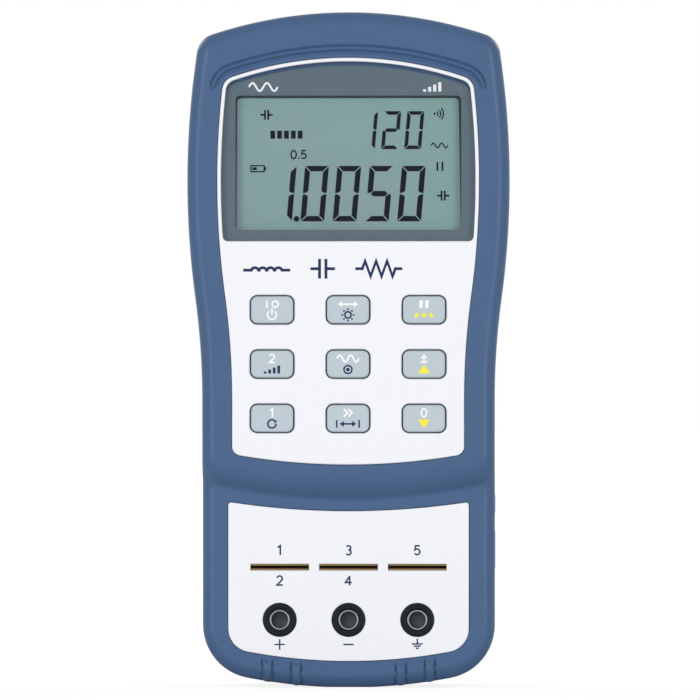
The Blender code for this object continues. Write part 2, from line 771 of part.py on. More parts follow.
def cover_pad(side, height, length):
    """Thicker wall behind a port cover."""
    x = sides_between(side, WAIST - COVER_THICKNESS - FIT_GAP - PORT_WALL, WAIST - SIDE_WALL / 2)
    depth = (SPLIT_GAP / 2, COVER_MIDDLE + COVER_DEPTH / 2 + PORT_WALL)
    reach = length / 2 + PORT_WALL
    return box(x, depth, (height - reach, height + reach))


def port_hole(side, height, width, depth):
    """Hole behind a port cover for the plug."""
    x = sides_between(side, WAIST - 2 * SIDE_WALL - COVER_THICKNESS, WAIST)
    half_depth = depth / 2 + FIT_GAP
    half_width_z = width / 2 + FIT_GAP
    return box(x, (COVER_MIDDLE - half_depth, COVER_MIDDLE + half_depth),
               (height - half_width_z, height + half_width_z))


def front_case():
    """Front half of the case with its pockets, holes, posts and ribs."""
    piece = add_piece("front_case", case_blank(0.0, rim_level, FRONT_EDGE_RADIUS, SPLIT_GAP / 2, True),
                      "blue_plastic")
    wall = RIM_LEVEL - WALL_INNER

    def inner_level(x, z):
        return rim_level(x, z) - wall

    cut(piece, [case_blank(SIDE_WALL, inner_level, LEAST_FILLET, -SIDE_WALL, True)])
    terminal_floor = POCKET_FLOOR - STEP_DROP
    posts = [plate(circle(x, z, FRONT_BOSS_RADIUS, SMALL_SIDES), inner_level(x, z) + FRONT_WALL / 2,
                   SPLIT_GAP / 2) for _, (x, z) in case_screw_places()]
    posts += [plate(circle(x, z, POST_RADIUS, SMALL_SIDES), inner_level(x, z) + FRONT_WALL / 2,
                    BOARD_FRONT + FIT_GAP) for _, (x, z) in board_screw_places()]
    pads = [cover_pad(side, height, length) for _, side, height, length, _ in port_covers()]
    ribs = [foot_rib(side * x) for side in (-1, 1) for x in (FOOT_RIB_INNER, FOOT_RIB_OUTER)]
    join(piece, posts + pads + ribs + [brow_rib()])
    above = KEY_FRONT + FRONT_WALL
    holes = [plate(upper_outline(-FIT_GAP), above, POCKET_FLOOR),
             plate(terminal_outline(-FIT_GAP), above, terminal_floor),
             plate(view_outline(FIT_GAP), above, WALL_INNER - FRONT_WALL)]
    holes += [plate(key_outline(x, z, HOLE_CLEARANCE), above, WALL_INNER - FRONT_WALL)
              for _, (x, z) in key_places()]
    below = WALL_INNER - STEP_DROP - FRONT_WALL
    holes += [plate(slot_outline(x, FIT_GAP), above, below) for _, x in terminal_places()]
    holes += [plate(circle(x, JACK_HEIGHT, JACK_RADIUS + FIT_GAP), above, below)
              for _, x in terminal_places()]
    holes += [plate(circle(x, z, CASE_SCREW_RADIUS + SCREW_CLEARANCE, SMALL_SIDES),
                    CASE_SCREW_REACH + FIT_GAP, -SIDE_WALL) for _, (x, z) in case_screw_places()]
    board_tip = BOARD_REAR - FIT_GAP + SMALL_SCREW_LENGTH
    holes += [plate(circle(x, z, SMALL_SCREW_RADIUS + SCREW_CLEARANCE, SMALL_SIDES),
                    board_tip + FIT_GAP, BOARD_REAR) for _, (x, z) in board_screw_places()]
    holes += [cover_pocket(side, height, length) for _, side, height, length, _ in port_covers()]
    holes += [port_hole(1, DATA_COVER_HEIGHT, DATA_SOCKET_WIDTH, DATA_SOCKET_DEPTH),
              port_hole(-1, POWER_COVER_HEIGHT, POWER_SOCKET_WIDTH, POWER_SOCKET_DEPTH)]
    cut(piece, holes)


def slot_outline(x, grow):
    """Outline of the opening in front of a pair of contact blades."""
    half = SLOT_WIDTH / 2 + grow
    tall = BLADE_HALF_GAP + BLADE_FLARE + BLADE_THICKNESS + grow
    return rectangle((x - half, x + half), (SLOT_HEIGHT - tall, SLOT_HEIGHT + tall))


def face_plates():
    """White plates on the display half and the terminal half of the face."""
    upper = add_piece("upper_face_plate",
                      edged_plate(upper_outline, PANEL_FRONT, PANEL_BACK, PANEL_EDGE_ROUND), "white_plastic")
    above, below = KEY_FRONT, POCKET_FLOOR - FRONT_WALL
    holes = [plate(key_outline(x, z, HOLE_CLEARANCE), above, below) for _, (x, z) in key_places()]
    cut(upper, holes + [plate(window_outline(0.0), above, below)])
    front, back = PANEL_FRONT - STEP_DROP, PANEL_BACK - STEP_DROP
    lower = add_piece("terminal_face_plate",
                      edged_plate(terminal_outline, front, back, PANEL_EDGE_ROUND), "white_plastic")
    holes = [plate(slot_outline(x, FIT_GAP / 2), above, back - FRONT_WALL) for _, x in terminal_places()]
    holes += [plate(circle(x, JACK_HEIGHT, JACK_RADIUS + FIT_GAP / 2), above, back - FRONT_WALL)
              for _, x in terminal_places()]
    cut(lower, holes)


def display():
    """Window, mask, glass, backlight, holder and the strips that feed the glass."""
    add_piece("display_window", plate(window_outline(FIT_GAP), WINDOW_FRONT, WINDOW_BACK), "clear_plastic")
    mask = add_piece("display_mask", plate(window_outline(FIT_GAP), MASK_BACK + MASK_THICKNESS, MASK_BACK),
                     "mask_print")
    cut(mask, [plate(view_outline(), WINDOW_FRONT, WALL_INNER)])
    half = view_half() + GLASS_SIDE_BORDER
    low, high = VIEW_BOTTOM - GLASS_BORDER, VIEW_TOP + GLASS_BORDER
    add_piece("display_glass", box((-half, half), (GLASS_REAR, GLASS_FRONT), (low, high)), "display_glass")
    light = (VIEW_BOTTOM, VIEW_TOP)
    add_piece("display_backlight",
              box((-half, half), (BACKLIGHT_REAR, BACKLIGHT_REAR + BACKLIGHT_THICKNESS), light),
              "light_guide")
    strip_reach = half - GLASS_SIDE_BORDER
    for name, edge in (("upper", high - STRIP_THICKNESS), ("lower", low)):
        add_piece(f"contact_strip_{name}",
                  box((-strip_reach, strip_reach), (BOARD_FRONT + FIT_GAP, GLASS_REAR - FIT_GAP),
                      (edge, edge + STRIP_THICKNESS)), "soft_rubber")
    gap, wall = FIT_GAP, FIT_GAP + HOLDER_WALL
    holder = add_piece("display_holder",
                       box((-half - wall, half + wall), (BOARD_FRONT + FIT_GAP, GLASS_FRONT),
                           (low - wall, high + wall)), "holder_plastic")
    cut(holder, [box((-half - gap, half + gap), (BOARD_REAR, WINDOW_FRONT), (low - gap, high + gap))])


def keys():
    """Nine keys with flanges behind the case wall and plungers, and the mat that they press into."""
    for name, (x, z) in key_places():
        rings = [facing(key_outline(x, z), FLANGE_FRONT - KEY_FLANGE_THICKNESS / 2)]
        for step in range(EDGE_STEPS + 1):
            angle = math.pi / 2 * step / EDGE_STEPS
            shrink = -KEY_EDGE_ROUND * (1 - math.cos(angle))
            drop = KEY_EDGE_ROUND * (1 - math.sin(angle))
            rings.append(facing(key_outline(x, z, shrink), KEY_FRONT - drop))
        key = add_piece(f"key_{name}", loft(rings), "key_rubber")
        join(key, [plate(key_outline(x, z, KEY_FLANGE), FLANGE_FRONT, FLANGE_BACK),
                   plate(circle(x, z, PLUNGER_RADIUS, SMALL_SIDES), FLANGE_BACK + KEY_FLANGE_THICKNESS / 2,
                         PLUNGER_TIP)])
        origin = Vector((x, -KEY_FRONT, z))
        key.data.transform(Matrix.Translation(-origin))
        key.location = origin
    reach = KEY_COLUMN_PITCH + KEY_WIDTH / 2 + MAT_MARGIN
    low = KEY_ROWS[-1] - KEY_HEIGHT / 2 - MAT_MARGIN
    high = KEY_ROWS[0] + KEY_HEIGHT / 2 + MAT_MARGIN
    mat = add_piece("key_mat", box((-reach, reach), (MAT_BACK, MAT_BACK + MAT_THICKNESS), (low, high)),
                    "soft_rubber")
    bore = PLUNGER_RADIUS + POCKET_CLEARANCE
    join(mat, [plate(circle(x, z, bore + COLLAR_WALL, SMALL_SIDES), COLLAR_TOP, MAT_BACK + MAT_THICKNESS / 2)
               for _, (x, z) in key_places()])
    cut(mat, [plate(circle(x, z, bore, SMALL_SIDES), KEY_FRONT, BOARD_REAR) for _, (x, z) in key_places()])


def circuit_board():
    """Circuit board with clearance for bosses, jacks, blades and the power socket."""
    board = add_piece("circuit_board", plate(case_outline(BOARD_EDGE_GAP), BOARD_FRONT, BOARD_REAR),
                      "board_laminate")
    ends = (WALL_INNER, BOARD_REAR - SIDE_WALL)
    holes = [plate(circle(x, z, FRONT_BOSS_RADIUS + POCKET_CLEARANCE, SMALL_SIDES), *ends)
             for _, (x, z) in case_screw_places()]
    holes += [plate(circle(x, z, SMALL_SCREW_RADIUS + SCREW_CLEARANCE, SMALL_SIDES), *ends)
              for _, (x, z) in board_screw_places()]
    holes += [plate(circle(x, JACK_HEIGHT, SLEEVE_RADIUS + FIT_GAP), *ends) for _, x in terminal_places()]
    holes += [plate(blade_slot(x), *ends) for _, x in terminal_places()]
    inner = WAIST - COVER_THICKNESS - PORT_WALL - 2 * FIT_GAP - POWER_SOCKET_LENGTH - FIT_GAP
    reach = POWER_SOCKET_WIDTH / 2 + FIT_GAP
    holes.append(box((-WAIST, -inner), (ends[1], ends[0]),
                     (POWER_COVER_HEIGHT - reach, POWER_COVER_HEIGHT + reach)))
    cut(board, holes)


def blade_slot(x):
    """Outline of the gap that a pair of blades passes through."""
    half = SLOT_WIDTH / 2 + FIT_GAP / 2
    tall = BLADE_HALF_GAP + BLADE_THICKNESS + FIT_GAP
    return rectangle((x - half, x + half), (SLOT_HEIGHT - tall, SLOT_HEIGHT + tall))


def test_slots():
    """Block behind the test slots and a pair of sprung blades in each."""
    reach = TERMINAL_PITCH + SLOT_WIDTH / 2 + SLOT_BLOCK_MARGIN
    front = WALL_INNER - STEP_DROP - FIT_GAP
    block = add_piece("slot_block", box((-reach, reach), (BOARD_FRONT + FIT_GAP, front),
                                        (SLOT_HEIGHT - SLOT_BLOCK_MARGIN, SLOT_HEIGHT + SLOT_BLOCK_MARGIN)),
                      "black_plastic")
    cut(block, [plate(blade_slot(x), KEY_FRONT, BOARD_REAR) for _, x in terminal_places()])
    tip = PANEL_FRONT - STEP_DROP - BLADE_SUNK
    for name, x in terminal_places():
        for level, sign in (("upper", 1), ("lower", -1)):
            inner = [(tip, BLADE_HALF_GAP + BLADE_FLARE), (tip - BLADE_FLARE_RUN, BLADE_HALF_GAP),
                     (BOARD_REAR - BLADE_TAIL, BLADE_HALF_GAP)]
            outer = [(u, z + BLADE_THICKNESS) for u, z in reversed(inner)]
            ends = (x - SLOT_WIDTH / 2, x + SLOT_WIDTH / 2)
            rings = [[Vector((end, -u, SLOT_HEIGHT + sign * z)) for u, z in inner + outer] for end in ends]
            add_piece(f"contact_{name}_{level}", loft(rings), "gold_contact")


def jacks():
    """Three jacks, each a black insulator and a plated sleeve."""
    front = PANEL_FRONT - STEP_DROP + JACK_PROUD
    wall = WALL_INNER - STEP_DROP - FIT_GAP
    back = BOARD_FRONT + FIT_GAP
    bore = SLEEVE_RADIUS + FIT_GAP
    for name, x in terminal_places():
        add_piece(f"jack_insulator_{name}",
                  turned_tube(x, JACK_HEIGHT, [(bore, front), (JACK_RADIUS, front), (JACK_RADIUS, wall),
                                               (JACK_RADIUS + JACK_COLLAR, wall),
                                               (JACK_RADIUS + JACK_COLLAR, back), (bore, back)]),
                  "black_plastic")
        tip = front - SLEEVE_SUNK
        end = tip - SLEEVE_LENGTH
        add_piece(f"jack_sleeve_{name}",
                  turned(x, JACK_HEIGHT, [(SLEEVE_BORE, end + SLEEVE_FLOOR), (SLEEVE_BORE, tip),
                                          (SLEEVE_RADIUS, tip), (SLEEVE_RADIUS, end)]),
                  "plated_metal")


def cover_profile(side, length, height, dent):
    """Outline of a port cover seen from the front, with a round hinge end and a finger dent."""
    radius = COVER_THICKNESS / 2
    low, high = height - length / 2 + radius, height + length / 2
    dent_rise, dent_length, dent_depth = dent
    points = [(-radius, high), (radius - COVER_CHAMFER, high), (radius, high - COVER_CHAMFER)]
    for step in range(2 * CORNER_STEPS + 1):
        share = 2 * step / (2 * CORNER_STEPS) - 1
        points.append((radius - dent_depth * (1 - share * share),
                       height + dent_rise - share * dent_length / 2))
    for step in range(2 * CORNER_STEPS + 1):
        angle = -math.pi * step / (2 * CORNER_STEPS)
        points.append((radius * math.cos(angle), low + radius * math.sin(angle)))
    hinge_x = WAIST - radius
    return [(side * (hinge_x + x), z) for x, z in points], Vector((side * hinge_x, -COVER_MIDDLE, low))


def ports():
    """Port covers on their hinges, and the sockets behind them."""
    for name, side, height, length, dent in port_covers():
        loop, hinge = cover_profile(side, length, height, dent)
        add_piece(name, plate(loop, COVER_MIDDLE + COVER_DEPTH / 2, COVER_MIDDLE - COVER_DEPTH / 2),
                  "cover_rubber", hinge)
    face = WAIST - COVER_THICKNESS - PORT_WALL - 2 * FIT_GAP
    depth, width = DATA_SOCKET_DEPTH / 2, DATA_SOCKET_WIDTH / 2
    data = add_piece("data_socket", box((face - DATA_SOCKET_LENGTH, face),
                                        (COVER_MIDDLE - depth, COVER_MIDDLE + depth),
                                        (DATA_COVER_HEIGHT - width, DATA_COVER_HEIGHT + width)),
                     "plated_metal")
    depth, width = depth - DATA_SOCKET_SHELL, width - DATA_SOCKET_SHELL
    cut(data, [box((face - DATA_SOCKET_LENGTH + SOCKET_FLOOR, WAIST),
                   (COVER_MIDDLE - depth, COVER_MIDDLE + depth),
                   (DATA_COVER_HEIGHT - width, DATA_COVER_HEIGHT + width))])
    depth, width = POWER_SOCKET_DEPTH / 2, POWER_SOCKET_WIDTH / 2
    power = add_piece("power_socket", box((-face, POWER_SOCKET_LENGTH - face),
                                          (COVER_MIDDLE - depth, COVER_MIDDLE + depth),
                                          (POWER_COVER_HEIGHT - width, POWER_COVER_HEIGHT + width)),
                      "black_plastic")
    floor = POWER_SOCKET_LENGTH - face - SOCKET_FLOOR
    cut(power, [rod((-WAIST, floor), COVER_MIDDLE, POWER_COVER_HEIGHT, POWER_SOCKET_BORE)])
    join(power, [rod((-face + SOCKET_FLOOR / 2, floor + SOCKET_FLOOR / 2), COVER_MIDDLE,
                     POWER_COVER_HEIGHT, POWER_PIN_RADIUS)])


def pocket_box():
    """Low and high sides of the battery pocket across the width and along the height."""
    half = BATTERY_WIDTH / 2 + POCKET_CLEARANCE
    top = BATTERY_BASE + BATTERY_LENGTH + FIT_GAP + SNAP_THICKNESS + POCKET_CLEARANCE
    return (-half, half), (BATTERY_BASE - POCKET_CLEARANCE, top)


def door_outline(grow=0.0):
    """Outline of the battery door."""
    (_, half), (low, high) = pocket_box()
    low, high = low - DOOR_LEDGE, high + DOOR_LAND
    return rounded_rectangle(0.0, (low + high) / 2, 2 * (half + DOOR_LEDGE + grow), high - low + 2 * grow,
                             DOOR_CORNER + grow)


def door_screw_places():
    """Name and middle of each battery door screw."""
    _, (_, high) = pocket_box()
    z = high + DOOR_LAND - DOOR_SCREW_INSET
    return [("left", (-DOOR_SCREW_SIDE, z)), ("right", (DOOR_SCREW_SIDE, z))]


def rear_case():
    """Rear half of the case with the stand tray, the battery pocket and the screw bosses."""
    def back_level(x, z):
        return -REAR_LEVEL

    def inner_level(x, z):
        return -REAR_LEVEL - SIDE_WALL

    piece = add_piece("rear_case", case_blank(0.0, back_level, REAR_EDGE_RADIUS, -SPLIT_GAP / 2, False),
                      "blue_plastic")
    cut(piece, [case_blank(SIDE_WALL, inner_level, REAR_EDGE_RADIUS - SIDE_WALL, SIDE_WALL, False)])
    tray_half = STAND_WIDTH / 2 + POCKET_CLEARANCE
    tray_low = STAND_HINGE_HEIGHT - STAND_LENGTH - POCKET_CLEARANCE
    tray_high = STAND_HINGE_HEIGHT + STAND_THICKNESS / 2 + POCKET_CLEARANCE
    hidden = REAR_LEVEL + SIDE_WALL / 2
    (left, right), (low, high) = pocket_box()
    wall = POCKET_WALL
    land_top = high + DOOR_LAND + TRAY_WALL
    land_front = DOOR_FRONT - SMALL_SCREW_HEAD_HEIGHT + SMALL_SCREW_LENGTH + POCKET_WALL
    backing = [box((-tray_half - TRAY_WALL, tray_half + TRAY_WALL), (hidden, TRAY_FRONT),
                   (tray_low - NOTCH_HEIGHT - TRAY_WALL, tray_high + TRAY_WALL)),
               box((left - wall, right + wall), (hidden, POCKET_FRONT + wall), (low - wall, high + wall)),
               box((left - wall, right + wall), (hidden, land_front), (high, land_top))]
    backing += [plate(circle(x, z, REAR_BOSS_RADIUS, SMALL_SIDES), -SPLIT_GAP / 2, hidden)
                for _, (x, z) in case_screw_places()]
    join(piece, backing)
    outside = REAR_LEVEL - SIDE_WALL
    notch = rounded_rectangle(0.0, tray_low, NOTCH_WIDTH, 2 * NOTCH_HEIGHT, NOTCH_HEIGHT / 2)
    holes = [box((-tray_half, tray_half), (outside, TRAY_FLOOR), (tray_low, tray_high)),
             plate(notch, TRAY_FLOOR + NOTCH_EXTRA_DEPTH, outside),
             plate(door_outline(FIT_GAP), LEDGE_BACK, outside),
             box((left, right), (outside, POCKET_FRONT), (low, high)),
             rod((-tray_half - TRUNNION_LENGTH - FIT_GAP, tray_half + TRUNNION_LENGTH + FIT_GAP),
                 (STAND_FRONT + STAND_BACK) / 2, STAND_HINGE_HEIGHT, TRUNNION_RADIUS + TRUNNION_CLEARANCE)]
    seat = REAR_LEVEL + CASE_SCREW_SUNK + CASE_SCREW_HEAD_HEIGHT + FIT_GAP
    for _, (x, z) in case_screw_places():
        holes.append(plate(circle(x, z, CASE_SCREW_HEAD_RADIUS + POCKET_CLEARANCE), seat, outside))
        shank = circle(x, z, CASE_SCREW_RADIUS + SCREW_CLEARANCE, SMALL_SIDES)
        holes.append(plate(shank, SIDE_WALL, outside))
    tip = DOOR_BACK + SMALL_SCREW_LENGTH + FIT_GAP
    holes += [plate(circle(x, z, SMALL_SCREW_RADIUS + SCREW_CLEARANCE, SMALL_SIDES), tip, outside)
              for _, (x, z) in door_screw_places()]
    cut(piece, holes)


def battery_parts():
    """Battery, its snap and the door that closes the pocket."""
    middle = (BATTERY_FRONT + BATTERY_BACK) / 2
    top = BATTERY_BASE + BATTERY_LENGTH
    loop = rounded_rectangle(0.0, -middle, BATTERY_WIDTH, BATTERY_DEPTH, BATTERY_ROUND)
    rings = [[Vector((x, y, z)) for x, y in loop] for z in (BATTERY_BASE, top)]
    battery = add_piece("battery", loft(rings), "battery_can")
    join(battery, [upright(x, middle, STUD_RADIUS, top - STUD_HEIGHT, top + STUD_HEIGHT)
                   for x in stud_sides()])
    base = top + FIT_GAP
    half = BATTERY_WIDTH / 2
    snap = add_piece("battery_snap", box((-half, half), (middle - SNAP_DEPTH / 2, middle + SNAP_DEPTH / 2),
                                         (base, base + SNAP_THICKNESS)), "soft_rubber")
    cut(snap, [upright(x, middle, STUD_RADIUS + FIT_GAP, top, top + STUD_HEIGHT + FIT_GAP)
               for x in stud_sides()])
    door = add_piece("battery_door", plate(door_outline(), DOOR_FRONT, DOOR_BACK), "blue_plastic")
    seat = DOOR_BACK + SMALL_SCREW_HEAD_HEIGHT + FIT_GAP / 2
    for _, (x, z) in door_screw_places():
        cut(door, [plate(circle(x, z, SMALL_SCREW_HEAD_RADIUS + FIT_GAP), seat, REAR_LEVEL),
                   plate(circle(x, z, SMALL_SCREW_RADIUS + SCREW_CLEARANCE, SMALL_SIDES), 0.0, REAR_LEVEL)])


def stud_sides():
    """Side offsets of the two battery studs."""
    return (-STUD_PITCH / 2, STUD_PITCH / 2)


def upright(x, u, radius, low, high):
    """Round bar that stands along the height."""
    loop = circle(x, -u, radius, SMALL_SIDES)
    return loft([[Vector((a, b, z)) for a, b in loop] for z in (low, high)])


def tilt_stand():
    """Stand that folds flat into the back and turns on two short trunnions."""
    middle = (STAND_FRONT + STAND_BACK) / 2
    radius = STAND_THICKNESS / 2
    low = STAND_HINGE_HEIGHT - STAND_LENGTH
    half = STAND_WIDTH / 2
    loop = []
    for step in range(2 * CORNER_STEPS + 1):
        angle = math.pi * step / (2 * CORNER_STEPS)
        loop.append((middle + radius * math.cos(angle), STAND_HINGE_HEIGHT + radius * math.sin(angle)))
    loop += [(middle - radius, low), (middle + radius, low)]
    stand = add_piece("tilt_stand", loft([[Vector((x, -u, z)) for u, z in loop] for x in (-half, half)]),
                      "blue_plastic")
    angles = [math.pi / 2 * i / CORNER_STEPS for i in range(CORNER_STEPS + 1)]
    inner, past, under = half - STAND_CORNER, half + STAND_CORNER, low - STAND_CORNER
    corners = []
    for side in (-1, 1):
        loop = [(side * (inner + STAND_CORNER * math.sin(a)), low + STAND_CORNER * (1 - math.cos(a)))
                for a in angles]
        loop += [(side * past, low + STAND_CORNER), (side * past, under), (side * inner, under)]
        corners.append(plate(loop, STAND_FRONT + radius, STAND_BACK - radius))
    cut(stand, corners)
    join(stand, [rod((-half - TRUNNION_LENGTH, half + TRUNNION_LENGTH), middle, STAND_HINGE_HEIGHT,
                     TRUNNION_RADIUS)])
    hinge = Vector((0.0, -middle, STAND_HINGE_HEIGHT))
    stand.data.transform(Matrix.Translation(-hinge))
    stand.location = hinge


def screw(name, place, head_back, head_radius, head_height, radius, tip):
    """Screw driven from the back, with a socket in its head."""
    x, z = place
    seat = head_back + head_height
    floor = head_back + head_height / 2
    profile = [(radius, floor), (radius, head_back), (head_radius, head_back), (head_radius, seat),
               (radius, seat), (radius, tip)]
    add_piece(name, turned(x, z, profile, SMALL_SIDES), "screw_steel")


def screws():
    """Screws of the case, the board and the battery door."""
    for name, place in case_screw_places():
        screw(f"case_screw_{name}", place, REAR_LEVEL + CASE_SCREW_SUNK, CASE_SCREW_HEAD_RADIUS,
              CASE_SCREW_HEAD_HEIGHT, CASE_SCREW_RADIUS, CASE_SCREW_REACH)
    for name, place in board_screw_places():
        head = BOARD_REAR - FIT_GAP - SMALL_SCREW_HEAD_HEIGHT
        screw(f"board_screw_{name}", place, head, SMALL_SCREW_HEAD_RADIUS, SMALL_SCREW_HEAD_HEIGHT,
              SMALL_SCREW_RADIUS, head + SMALL_SCREW_HEAD_HEIGHT + SMALL_SCREW_LENGTH)
    for name, place in door_screw_places():
        screw(f"door_screw_{name}", place, DOOR_BACK, SMALL_SCREW_HEAD_RADIUS, SMALL_SCREW_HEAD_HEIGHT,
              SMALL_SCREW_RADIUS, DOOR_BACK + SMALL_SCREW_LENGTH)


def chip(name, x, z, width, length, thickness, finish):
    """Moulded package on the back of the board."""
    rear = BOARD_REAR - FIT_GAP
    add_piece(name, box((x - width / 2, x + width / 2), (rear - thickness, rear),
                        (z - length / 2, z + length / 2)), finish)


def board_parts():
    """Larger parts soldered on the back of the board."""
    row = WINDOW_BOTTOM + PROCESSOR_ABOVE_WINDOW
    chip("processor", 0.0, row, PROCESSOR_SIZE, PROCESSOR_SIZE, PROCESSOR_THICKNESS, "black_plastic")
    chip("measuring_chip", CHIP_SIDE, row, MEASURING_CHIP_WIDTH, MEASURING_CHIP_LENGTH,
         MEASURING_CHIP_THICKNESS, "black_plastic")
    chip("range_relay", -CHIP_SIDE, row, RELAY_WIDTH, RELAY_LENGTH, RELAY_THICKNESS, "white_plastic")
    low_row = row - PROCESSOR_SIZE - RELAY_LENGTH / 2
    chip("crystal", CHIP_SIDE, low_row, CRYSTAL_WIDTH, CRYSTAL_LENGTH, CRYSTAL_THICKNESS, "plated_metal")
    rear = BOARD_REAR - FIT_GAP
    back = rear - BUZZER_THICKNESS
    buzzer = add_piece("buzzer", plate(circle(-CHIP_SIDE, low_row, BUZZER_RADIUS), rear, back),
                       "black_plastic")
    cut(buzzer, [plate(circle(-CHIP_SIDE, low_row, BUZZER_HOLE, SMALL_SIDES), back + BUZZER_THICKNESS / 2,
                       back - BUZZER_THICKNESS)])


def main():
    """Build the meter."""
    clear_scene()
    centre = bpy.data.objects.new("case_centre", None)
    bpy.context.scene.collection.objects.link(centre)
    centre.location = (0.0, SPLIT_Y, 0.0)
    front_case()
    face_plates()
    display()
    keys()
    circuit_board()
    test_slots()
    jacks()
    ports()
    rear_case()
    battery_parts()
    tilt_stand()
    screws()
    board_parts()


main()
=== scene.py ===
"""Fine surfaces, finishes and stage of a handheld LCR meter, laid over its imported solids.

Points on the face are written as x and z. A depth u is measured forward from the plane where
the two halves of the case meet, so the point lies at y = SPLIT - u. All sizes are in metres.
"""
import functools
import json
import math

import bmesh
import bpy
import numpy as np
from bpy.props import FloatProperty, FloatVectorProperty, PointerProperty
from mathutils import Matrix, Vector
from mathutils.geometry import delaunay_2d_cdt


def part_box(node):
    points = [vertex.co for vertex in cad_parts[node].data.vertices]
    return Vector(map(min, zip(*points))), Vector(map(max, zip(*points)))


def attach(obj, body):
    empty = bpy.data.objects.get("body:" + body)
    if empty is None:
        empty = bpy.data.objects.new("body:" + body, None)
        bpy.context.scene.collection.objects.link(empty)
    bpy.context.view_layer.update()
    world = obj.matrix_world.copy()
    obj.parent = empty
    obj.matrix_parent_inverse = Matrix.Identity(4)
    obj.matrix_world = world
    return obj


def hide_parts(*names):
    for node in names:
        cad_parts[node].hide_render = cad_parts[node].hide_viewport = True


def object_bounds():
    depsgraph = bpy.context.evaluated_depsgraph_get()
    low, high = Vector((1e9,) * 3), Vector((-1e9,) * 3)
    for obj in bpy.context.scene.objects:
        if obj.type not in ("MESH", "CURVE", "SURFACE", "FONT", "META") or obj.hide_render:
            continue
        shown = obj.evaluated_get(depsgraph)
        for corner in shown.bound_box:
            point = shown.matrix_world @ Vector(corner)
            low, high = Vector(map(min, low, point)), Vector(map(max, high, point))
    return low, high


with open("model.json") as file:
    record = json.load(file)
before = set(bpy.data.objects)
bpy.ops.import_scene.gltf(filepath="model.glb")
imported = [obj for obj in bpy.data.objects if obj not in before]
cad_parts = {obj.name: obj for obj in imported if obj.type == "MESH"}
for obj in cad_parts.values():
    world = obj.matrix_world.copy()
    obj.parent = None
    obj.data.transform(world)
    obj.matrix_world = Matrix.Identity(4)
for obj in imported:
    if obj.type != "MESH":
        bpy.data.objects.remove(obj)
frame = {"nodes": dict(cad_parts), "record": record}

bl_info = {
    "name": "LCR meter",
    "version": (1, 0, 0),
    "blender": (4, 5, 0),
    "location": "3D View > Sidebar > Meter",
    "description": "Builds the surfaces, finishes and stage of a handheld LCR meter",
    "category": "Object",
}

CAD_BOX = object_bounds()
SPLIT_GAP = 0.0004
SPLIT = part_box("front_case")[1].y + SPLIT_GAP / 2

# Counts that set how finely curves are drawn
CORNER_STEPS = 12
EDGE_STEPS = 5
SIDE_STEPS = 190
END_STEPS = 84
ROUND_SIDES = 64
WELL_SIDES = 40
HOLE_SIDES = 24
ROD_SIDES = 32
HEAD_SIDES = 48
SETTLE_ROUNDS = 40
NEARNESS = 1e-8

# Shares of the half width of a rib at which its section is drawn, and the groove beside it
RIB_SHARES = (0.0, 0.25, 0.5, 0.7, 0.85, 0.94, 1.0, 1.06, 1.12, 1.18, 1.26, 1.4)
RIB_REACH = RIB_SHARES[-1]
RIB_GROOVE_AT = 1.12
RIB_GROOVE_SPREAD = 0.10

# Small sizes shared by many pieces
GAP = 0.0003
SEAM = 0.0001
FINE_ROUND = 0.0003
SUPPORT = 0.0003
PLAY = 0.0004
CUT_EASE = 0.00025
PRINT_THICKNESS = 0.00003
PRINT_SUNK = 0.00002
SMOOTH_ANGLE = math.radians(35)
EASED_ANGLE = math.radians(40)

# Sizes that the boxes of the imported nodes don't give
JACK_RADIUS = 0.00465
SLEEVE_WALL = 0.0005
STAND_HALF = 0.0220
TRUNNION_RADIUS = 0.0011
DOOR_CORNER = 0.0030
DOOR_HOLE = 0.0012
STEM_RADIUS = 0.0024
FLANGE_THICKNESS = 0.0010
JACK_FLOOR_DEPTH = 0.0090
JACK_FLOOR_THICKNESS = 0.0012

# Width, height and corner radius of the bare sunk field on the back, and its depth
LABEL_FIELD = (0.0500, 0.0340, 0.0030)
LABEL_SINK = 0.0004

# Floor that the meter stands on
FLOOR_REACH = 8.0
FLOOR_DROP = 0.00005

# Place and width of the front lamp, and of the right lamp of the side and rear pairs
FRONT_LAMP = ((-0.3, -3.0, 0.6), 1.2)
SIDE_LAMP = ((1.85, -2.50, 0.45), 1.0)
REAR_LAMP = ((1.9, 1.9, 1.5), 1.2)

# Relief of the two shared grains, and how far the roughness swings with them
GRAIN_RELIEF = 0.00005
GRAIN_SPREAD = 0.12
LINE_RELIEF = 0.00003
LINE_SPREAD = 0.15
LINE_SCALE = 400.0
LINE_BUMP = 0.12

KEY_NODES = ("key_power", "key_light", "key_hold", "key_second", "key_wave", "key_up",
             "key_first", "key_rate", "key_down")
TERMINALS = ("plus", "minus", "guard")
CASE_SCREWS = ("case_screw_upper_left", "case_screw_upper_right", "case_screw_lower_left",
               "case_screw_lower_right")
DOOR_SCREWS = ("door_screw_left", "door_screw_right")
SIDES = (-1, 1)
CORNERS = ((-1, -1), (1, -1), (1, 1), (-1, 1))


def length(name, description, default):
    """Length setting in metres."""
    return FloatProperty(name=name, description=description, default=default, unit="LENGTH", precision=5)


def colour(name, description, default):
    """Colour setting, in linear light."""
    return FloatVectorProperty(name=name, description=description, default=default, subtype="COLOR",
                               size=3, min=0.0, max=1.0)


def number(name, description, default):
    """Plain number setting."""
    return FloatProperty(name=name, description=description, default=default, precision=3)


def degrees(name, description, default):
    """Angle setting, given in degrees."""
    return FloatProperty(name=name, description=description, default=math.radians(default), subtype="ANGLE")


def watts(name, description, default):
    """Lamp setting, in watts."""
    return FloatProperty(name=name, description=description, default=default, unit="POWER")


